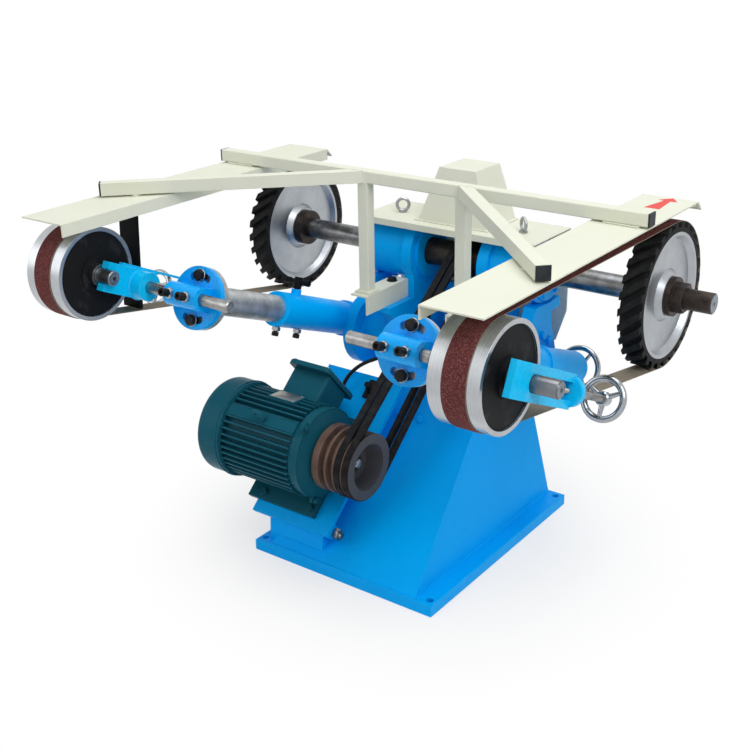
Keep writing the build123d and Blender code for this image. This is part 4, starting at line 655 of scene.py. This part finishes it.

# Abrasive belts: three stretches each, on the wheel, on the run and on the idler. They meet
# at the cuts, which are shares of the straight runs.

BELT_HALF, BELT_T, TYRE_R, IDLER_R, BELT_GAP, WHEEL_X, BELT_STEP = 26, 1.6, 175, 110, 0.4, 554, 6
BELT_CUTS, BELT_POINTS = (0.45, 0.92), 9
for side, sign in zip(SIDES, (-1, 1)):
    loop = belt_loop((SHAFT_Y, SHAFT_Z), TYRE_R + BELT_GAP, (AXLE_Y, AXLE_Z), IDLER_R + BELT_GAP, BELT_STEP)
    width = np.linspace(-BELT_HALF, BELT_HALF, BELT_POINTS)
    section = [(x, BELT_T) for x in width] + [(x, 0) for x in width[::-1]] + [(-BELT_HALF, BELT_T)]
    section = np.array(section) + np.array((sign * WHEEL_X, 0))
    line, _, leaves, steps = loop
    near, far = (round(cut * steps) for cut in BELT_CUTS)
    seam = len(line) - 1
    stretches = {"wheel": [(seam - near, seam), (0, leaves + near)],
                 "run": [(leaves + near, leaves + far), (seam - far, seam - near)],
                 "idler": [(leaves + far, seam - far)]}
    for number, (part, rows) in enumerate(stretches.items()):
        piece = belt(f"{side}_sanding_belt_{part}", loop, section, belt_cloth, range(BELT_POINTS - 1), rows)
        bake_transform(piece)
        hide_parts(f"{side}_abrasive_belt")

# V-belts: the section is half width and depth, with its corners broken

DRIVEN_R, MOTOR_PULLEY_R, VBELT_PROUD, VBELT_STEP = 62, 84, 2.5, 8
VBELT_X = (15, 39)
VBELT_SECTION = [(-9.5, -0.8), (-8.9, 0), (8.9, 0), (9.5, -0.8), (5.2, -13.9), (4.6, -14.5), (-4.6, -14.5),
                 (-5.2, -13.9), (-9.5, -0.8)]
loop = belt_loop((SHAFT_Y, SHAFT_Z), DRIVEN_R + VBELT_PROUD,
                 (motor_y, motor_z), MOTOR_PULLEY_R + VBELT_PROUD, VBELT_STEP)
for number, groove in enumerate(VBELT_X, 1):
    piece = belt(f"v_belt_{number}", loop, np.array(VBELT_SECTION) + np.array((groove, 0)), vbelt_rubber)
    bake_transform(piece)
    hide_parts("v_belts")

# Handwheels: round rim, three tapered spokes, hub and rod, with the screw that the rod drives

RIM_WIRE, WHEEL_HUB_R, WHEEL_HUB_HALF, WHEEL_ROD_R, ROD_IN_HUB = 7.5, 15, 13, 9, 10
SPOKES, SPOKE_IN, SPOKE_R = 3, 10, (6.4, 4.2)
# Each wheel's height on its screw, rim radius, first spoke's angle, and the height where its rod starts
TENSION_WHEEL, TENSION_SCREW = (353, 42.5, 90, 187), (-14, 188, 7)
ARM_WHEEL, ARM_COLLAR = (836, 55, 60, 585), (800.5, 814, 18)


def hand_wheel(spot, at, rim_r, first_spoke, rod_at):
    """A handwheel's surfaces on a place's third axis: the rim is a torus, a spoke tapers from the hub to the
    rim, the hub is turned with a domed end, and the rod runs from its height to the hub."""
    angle, section = circle(72)[:, None], circle(20)[None]
    rim = around(rim_r + RIM_WIRE * np.cos(section), angle, at + RIM_WIRE * np.sin(section))
    low, high = at - WHEEL_HUB_HALF, at + WHEEL_HUB_HALF
    hub = [(low, 0, 0), (low, WHEEL_HUB_R - 3, 0), (low + 3, WHEEL_HUB_R, 0), (high - 4, WHEEL_HUB_R, 0),
           (high - 1, WHEEL_HUB_R - 3, 0), (high, WHEEL_HUB_R - 7, 0), (high, 0, 0)]
    grids = [put(spot, rim), turned(spot, hub)]
    out = np.linspace(SPOKE_IN, rim_r - 2, 9)
    for number in range(SPOKES):
        middle = around(out, radians(first_spoke + 360 / SPOKES * number), at)
        grids.append(tube(put(spot, middle), np.linspace(*SPOKE_R, len(out)), 16))
    return [(grid, chrome_plate) for grid in grids] + [
        (turned(spot, rod(rod_at, at - ROD_IN_HUB, WHEEL_ROD_R)), ground_bar)]


tension_wheel = hand_wheel(SCREW, *TENSION_WHEEL) + [(thread(SCREW, *TENSION_SCREW), zinc_plate)]
arm_wheel = hand_wheel(ARM, *ARM_WHEEL) + [(turned(ARM, rod(*ARM_COLLAR)), blackened_steel)]
for side in SIDES:
    for kind, grids in (("tension", tension_wheel), ("arm", arm_wheel)):
        piece = skin(f"{side}_{kind}_wheel_chromed", on_side(side, grids), f"{side}_{kind}_wheel")
        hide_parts(f"{side}_{kind}_handwheel")

# Screws of the arm heads: two bolts through each slotted disc and two set screws with lock nuts in its clamp.
# A part's three numbers are the heights where it starts and ends, and its radius or width across flats.

SLOT_PCR, DISC_WASHER, DISC_HEAD, DISC_SHANK = 53, (-14, -17, 15), (-17, -27, 24), (-14, 14, 8)
DISC_NUT, DISC_THREAD = (14, 26, 24), (25, 33, 8)
CLAMP_X, CLAMP_SCREW = (-21, 31), ((-83, -100, 10), (-84, -58.5, 6), (-70, -80, 22))


def set_screw(spot, head, shank, nut):
    """A socket set screw with its lock nut on a place's third axis."""
    return [(turned(spot, socket_head(*head)), black_oxide), (thread(spot, *shank), black_oxide),
            (turned(spot, hexagon(*nut)), zinc_plate)]


arm_screws = []
for up in (-SLOT_PCR, SLOT_PCR):
    spot = moved(ARM, 0, up)
    arm_screws += [
        (turned(spot, plug(*DISC_WASHER, 0.6, 0.6)), zinc_plate),
        (turned(spot, hexagon(*DISC_HEAD)), black_oxide),
        (turned(spot, rod(*DISC_SHANK)), black_oxide),
        (turned(spot, hexagon(*DISC_NUT)), zinc_plate),
        (thread(spot, *DISC_THREAD), black_oxide),
    ]
for across in CLAMP_X:
    arm_screws += set_screw(moved(ARM, across), *CLAMP_SCREW)
for side in SIDES:
    piece = skin(f"{side}_arm_screws", on_side(side, arm_screws), f"{side}_arm")
    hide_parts(f"{side}_adjuster_bolts")

# Screws of the frame: foot bolts on spacers, set screws under the sleeves, bracket bolts, the motor plate's
# stud and two bolts on the pedestal's front

FOOT_AT, FOOT_SPACER, FOOT_WASHER, FOOT_HEAD = (143, 105, 0), (592, 638, 12), (642, 644, 14), (644, 652, 20)
SLEEVE_S, SLEEVE_SCREW = (298, 385), ((-58, -69, 9), (-59, -36, 6), (-45.5, -55.5, 19))
BRACKET_X, BRACKET_BOLTS, BRACKET_HEAD = 262, ((186, 548), (218, 526)), (0, 9, 19)
STUD_X, STUD_S, STUD_THREAD, STUD_PITCH, STUD_NUT = -125, 408, (-60, 34, 8), 2.5, (4.2, 16, 24)
STUD_WASHER_HALF, STUD_WASHER_ROWS = (17, 27), ((0.4, 0.6), (1, 0), (3.6, 0), (4.2, 0.6))
PEDESTAL_FOOT, PEDESTAL_HEAD = np.array((0, -332, 30)), np.array((0, 156, 400))
FRONT_BOLT_X, FRONT_BOLT_Z, FRONT_HEAD = (-72, 0), 303, (-0.5, 9, 17)

FOOT_BOLT = place(FOOT_AT, (0, 0, 1))
frame_screws = [
    (turned(FOOT_BOLT, rod(*FOOT_SPACER)), zinc_plate),
    (turned(FOOT_BOLT, plug(*FOOT_WASHER, 0.4, 0.6)), black_oxide),
    (turned(FOOT_BOLT, hexagon(*FOOT_HEAD)), black_oxide),
]
for along in SLEEVE_S:
    frame_screws += set_screw(place(disc_at + along * arm_dir, arm_up), *SLEEVE_SCREW)
for y, z in BRACKET_BOLTS:
    spot = place((BRACKET_X, y, z), (1, 0, 0), (0, 1, 0))
    frame_screws.append((turned(spot, hexagon(*BRACKET_HEAD)), sky_blue_enamel))
stud_spot = place(hinge_at + (STUD_X, 0, 0) + STUD_S * plate_dir, plate_up)
stud = [
    (thread(stud_spot, *STUD_THREAD, STUD_PITCH), black_oxide),
    (slab(stud_spot, (0, 0), STUD_WASHER_HALF, STUD_WASHER_ROWS, 20), black_oxide),
    (turned(stud_spot, hexagon(*STUD_NUT)), black_oxide),
]
front_run = unit(PEDESTAL_HEAD - PEDESTAL_FOOT)
front_at = PEDESTAL_FOOT + front_run * (FRONT_BOLT_Z - PEDESTAL_FOOT[2]) / front_run[2]
front_bolts = []
for x in FRONT_BOLT_X:
    spot = place(front_at + (x, 0, 0), np.cross((1, 0, 0), front_run))
    front_bolts.append((turned(spot, hexagon(*FRONT_HEAD)), sky_blue_enamel))
piece = skin("frame_screws", on_both(frame_screws) + stud + front_bolts, "frame")
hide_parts("frame_bolts")

# Welds: on the guard frame and the base, and on each arm head and fork

BAR_FRONT, BAR_BACK, BAR_LOW, BAR_TOP, POST_X, POST_FOOT, POST_LAP = -19, 11, 928, 958, (128, 158), 647, 2
GUARD_ARM_X, GUARD_Z, GUARD_SEAMS = (137, 179), 926, ((507, 588, BAR_FRONT), (527, 553, -410))
BAR_WELD, FOOT_WELD, ARM_WELD, SHEET_WELD = 2.2, 2.6, 2.4, 2.0
post_out = (POST_X[0] - POST_LAP, POST_X[1] + POST_LAP)
post_deep = (BAR_FRONT - POST_LAP, BAR_BACK + POST_LAP)
guard_welds = []
for y in (BAR_FRONT, BAR_BACK):
    guard_welds.append(bead(*((x, y, BAR_LOW) for x in POST_X), BAR_WELD))
    guard_welds.append(bead(*((x, y, POST_FOOT) for x in post_out), FOOT_WELD))
for x in POST_X:
    guard_welds.append(bead((x, BAR_FRONT, BAR_LOW), (x, BAR_BACK, BAR_LOW), BAR_WELD))
    guard_welds.append(bead(*((x, y, POST_FOOT) for y in post_deep), FOOT_WELD))
for z in (BAR_LOW, BAR_TOP):
    guard_welds.append(bead(*((x, BAR_FRONT, z) for x in GUARD_ARM_X), BAR_WELD))
for x in GUARD_ARM_X:
    guard_welds.append(bead((x, BAR_FRONT, BAR_LOW), (x, BAR_FRONT, BAR_TOP), ARM_WELD))
for start, end, y in GUARD_SEAMS:
    guard_welds.append(bead((start, y, GUARD_Z), (end, y, GUARD_Z), SHEET_WELD))
piece = skin("guard_frame_welds", on_both([(grid, cream_enamel) for grid in guard_welds]), "frame")

# A straight weld has a size and pitch. One round a bar also has, before them, its radius and height.
BASE_TOP, BASE_SEAM_X, BASE_SEAM_Y, SIDE_WELD, END_WELD = 30, 226, 332, (3.4, 8), (3.0, 8)
BOSS_Y, BOSS_Z, BOSS_WELD = 138, 480, (55, 228, 4, 6)
base_welds = [bead((BASE_SEAM_X, -BASE_SEAM_Y, BASE_TOP), (BASE_SEAM_X, BASE_SEAM_Y, BASE_TOP), *SIDE_WELD),
              ring_bead(place((0, BOSS_Y, BOSS_Z), (1, 0, 0), (0, 1, 0)), *BOSS_WELD)]
base_ends = [bead((-BASE_SEAM_X, y, BASE_TOP), (BASE_SEAM_X, y, BASE_TOP), *END_WELD)
             for y in (-BASE_SEAM_Y, BASE_SEAM_Y)]
base_welds = on_both([(grid, sky_blue_enamel) for grid in base_welds])
piece = skin("base_welds", base_welds + [(grid, sky_blue_enamel) for grid in base_ends], "frame")

ROD_S, ROD_WELD, DISC_WELD, SCREW_WELD = -42, (34, 457.5, 3.4, 6), (34, 14, 4, 6), (30, 171, 2.6, 6)
rod_spot = place((disc_at + ROD_S * arm_dir) * (0, 1, 1), (1, 0, 0), (0, 1, 0))
arm_welds = [(ring_bead(ARM, *DISC_WELD), cast_blue_enamel)]
fork_welds = [(ring_bead(rod_spot, *ROD_WELD), sky_blue_painted_light_enamel),
              (ring_bead(SCREW, *SCREW_WELD), sky_blue_painted_light_enamel)]
for side in SIDES:
    for body, grids in ((f"{side}_arm", arm_welds), (f"{side}_yoke_frame", fork_welds)):
        piece = skin(f"{body}_welds", on_side(side, grids), body)

# Faced bar ends with a centre-drilled hole

SHAFT_STUB, SHAFT_FACE_R = (620.5, 686, 25.2), 22.6
AXLE_ENDS, AXLE_FACE_R, CENTRE_HOLE_R = ((709, 1), (437, -1)), 15.4, 4.4


def faced_end(at, facing, radius):
    """The end of a turned bar: a disc just proud of it with a ring groove, and the drilled hole's cone."""
    spot = place(at, (facing, 0, 0), (0, 1, 0))
    face = [(-0.5, radius, 0), (0.5, radius - 0.4, 0), (0.5, 0.62 * radius, 0), (0.3, 0.6 * radius, 0),
            (0.5, 0.58 * radius, 0), (0.5, CENTRE_HOLE_R, 0)]
    cone = [(0.5, CENTRE_HOLE_R, 0), (0.12, CENTRE_HOLE_R - 2, 0), (0.12, 0, 0)]
    back = [(-0.5, radius, 0), (-0.5, 0, 0)]
    return [(turned(spot, face), faced_steel), (turned(spot, cone), blackened_steel),
            (turned(spot, back), faced_steel)]


spindle_ends = faced_end((SHAFT_STUB[1], SHAFT_Y, SHAFT_Z), 1, SHAFT_FACE_R)
spindle_ends.append((turned(SHAFT, plug(*SHAFT_STUB, 2, 2)), blackened_steel))
piece = skin("shaft_end_faces", on_both(spindle_ends), "spindle")
axle_ends = []
for x, facing in AXLE_ENDS:
    axle_ends += faced_end((x, AXLE_Y, AXLE_Z), facing, AXLE_FACE_R)
for side in SIDES:
    piece = skin(f"{side}_axle_end_faces", on_side(side, axle_ends), f"{side}_idler_axle")

# Motor: blank rating plate with rivets, raised lid with screws, bead round the cowl, ribbed boot on the cable

RATING_X, RATING_HALF, RATING_ROWS = -207.5, (38, 22), ((120.8, 0), (121.7, 0), (121.9, 0.5))
RIVET_X, RIVET_Y = (-241, -174), 18
RIVET_ROWS = ((121.5, 0), (121.5, 2), (122.6, 1.6), (123, 0.8), (123, 0))
LID_X, LID_HALF, LID_ROWS = -203, (53, 64), ((193.5, 0), (195, 0), (197, 1.2), (197.8, 3.5))
LID_SCREW_X, LID_SCREW_Y = (-256, -150), 64
LID_SCREW_ROWS = ((193.8, 0), (193.8, 5.5), (195.6, 5.2), (197, 3.6), (197, 0))
COWL_R, COWL_BEAD_X, COWL_BEAD_R, COWL_SCREWS, COWL_SCREW = 125, -342, 2.6, 4, (124, 128.6, 5)
BOOT_L, BOOT_R, BOOT_TAPER, BOOT_RIB, BOOT_RIBS, BOOT_POINTS = 34, 9.4, 3.6, 0.6, 6, 69
HUB_WASHER, HUB_HEAD = (4.5, 8.6, 24), (8.6, 19, 22)

TOP = place(motor_at, unit(plate_dir + plate_up))
LID = place(motor_at, plate_dir)
rating_plate = [(slab(TOP, (RATING_X, 0), RATING_HALF, RATING_ROWS, 20), blank_plate)]
lid = [(slab(LID, (LID_X, 0), LID_HALF, LID_ROWS, 7), teal_enamel)]
fixings = ((rating_plate, TOP, RIVET_X, RIVET_Y, RIVET_ROWS, 16),
           (lid, LID, LID_SCREW_X, LID_SCREW_Y, LID_SCREW_ROWS, 24))
for grids, spot, screw_x, screw_y, rows, steps in fixings:
    profile = [(height, radius, 0) for height, radius in rows]
    for x, y in product(screw_x, (-screw_y, screw_y)):
        grids.append((turned(moved(spot, x, y), profile, steps), zinc_plate))
bead_arc = np.radians(np.linspace(-60, 240, 121))
cowl = [(tube(put(MOTOR, around(COWL_R, bead_arc, COWL_BEAD_X)), COWL_BEAD_R, 10), teal_enamel)]
for number in range(COWL_SCREWS):
    angle = radians(45 + 360 / COWL_SCREWS * number)
    spot = moved(place(motor_at, cos(angle) * plate_dir + sin(angle) * plate_up), COWL_BEAD_X)
    cowl.append((turned(spot, plug(*COWL_SCREW, 1, 1.6), 24), teal_enamel))
run = distance_run(cable_line) / MM
share = np.linspace(0, 1, BOOT_POINTS)
boot_line = np.stack([np.interp(BOOT_L * share, run, axis) for axis in cable_line.T / MM], -1)
boot_r = BOOT_R - BOOT_TAPER * share + BOOT_RIB * np.sign(np.sin(2 * pi * (BOOT_RIBS * share + 0.1)))
boot = [(tube(boot_line, boot_r, 20), black_plastic)]
on_motor = (("rating_plate", rating_plate, "aluminium"), ("terminal_lid_panel", lid, "teal_enamel"),
            ("cowl_bead", cowl, "teal_enamel"), ("cable_boot", boot, "black_plastic"))
for name, grids, slot in on_motor:
    piece = skin(name, grids, "motor")

hub_bolt = [(turned(MOTOR, plug(*HUB_WASHER, 0.6, 1)), blackened_steel),
            (turned(MOTOR, hexagon(*HUB_HEAD)), zinc_plate)]
piece = skin("pulley_hub_bolt", hub_bolt, "rotor")

# Arrow on the right guard, laid as film on the sheet: rows from tail to tip are y, middle x and half width

ARROW = np.array(((151, 543, 18.5), (190, 545, 13.2), (228, 547, 8), (231, 547.3, 22.5), (246, 548.4, 11.5),
                  (259, 549, 0.6)))
FILM_LOW, FILM_TOP = 923.9, 924.25
y, middle, half = ARROW.T[:, :, None]
across = np.array((-1, 1, 1, -1, -1))[None]
film_z = np.array((FILM_LOW, FILM_LOW, FILM_TOP, FILM_TOP, FILM_LOW))[None]
film = capped(np.stack(np.broadcast_arrays(middle + half * across, y, film_z), -1))
piece = skin("direction_arrow", [(film, red_vinyl)], "frame", 20)

# Light: a white room, a large soft lamp at the right, one overhead and a weak one at the front left. The
# floor takes the machine's shadow and fades to white away from it.

FLOOR_RINGS, FLOOR_Z, SHADOW_FADE, FLOOR_GLOW = (0, 400, 900, 1600, 3000, 8000), -0.5, (0.30, 0.80), 0.6
ROOM_LIGHT, WHITE = 0.42, (1, 1, 1, 1)
# Each lamp's name, place and size in metres, and power in watts, turned to the machine's middle
LAMPS = (("key", (3.0, -1.4, 3.6), 2.2, 85), ("top", (0.0, 0.4, 4.2), 2.8, 62),
         ("fill", (-2.6, -2.8, 2.2), 2.4, 22))
LAMP_AIM = Vector((0, -0.1, 0.55))

floor_paint, add, at = start_finish("pale_floor")
shader = add("BsdfPrincipled", {"Base Color": "#F4F4F2", "Roughness": 0.9})
from_middle = add("VectorMath", {0: at}, operation="LENGTH")
fade = add("MapRange", {"Value": from_middle, "From Min": SHADOW_FADE[0], "From Max": SHADOW_FADE[1],
                        "To Min": FLOOR_GLOW}, interpolation_type="SMOOTHSTEP")
ray = add("LightPath")
seen = add("Math", {0: ray.outputs["Is Camera Ray"], 1: ray.outputs["Is Glossy Ray"]}, operation="MAXIMUM")
white = add("Math", {0: fade, 1: seen}, operation="MULTIPLY")
glow = add("Emission", {"Color": WHITE, "Strength": 1.0})
blended = add("MixShader", {0: white, 1: shader, 2: glow})
add("OutputMaterial", {"Surface": blended})
disc = around(np.array(FLOOR_RINGS)[:, None], circle(64)[None], FLOOR_Z)
floor = skin("floor", [(disc, floor_paint)])

world = bpy.data.worlds.new("white_room")
scene.world = world
world.use_nodes = True
world.node_tree.nodes.clear()
add = partial(add_node, world.node_tree)
ray = add("LightPath")
seen = add("Math", {0: ray.outputs["Is Camera Ray"], 1: ray.outputs["Is Glossy Ray"]}, operation="MAXIMUM")
seen = add("Math", {0: seen, 1: ray.outputs["Is Transmission Ray"]}, operation="MAXIMUM")
room = add("Background", {"Color": WHITE, "Strength": ROOM_LIGHT})
backdrop = add("Background", {"Color": WHITE, "Strength": 1.0})
mixed = add("MixShader", {0: seen, 1: room, 2: backdrop})
add("OutputWorld", {"Surface": mixed})

for name, spot, size, watts in LAMPS:
    lamp = bpy.data.lights.new(name, "AREA")
    lamp.size = size
    lamp.energy = watts
    holder = bpy.data.objects.new(name, lamp)
    holder.location = spot
    holder.rotation_euler = (LAMP_AIM - Vector(spot)).to_track_quat("-Z", "Y").to_euler()
    scene.collection.objects.link(holder)

scene.view_settings.view_transform = "Standard"
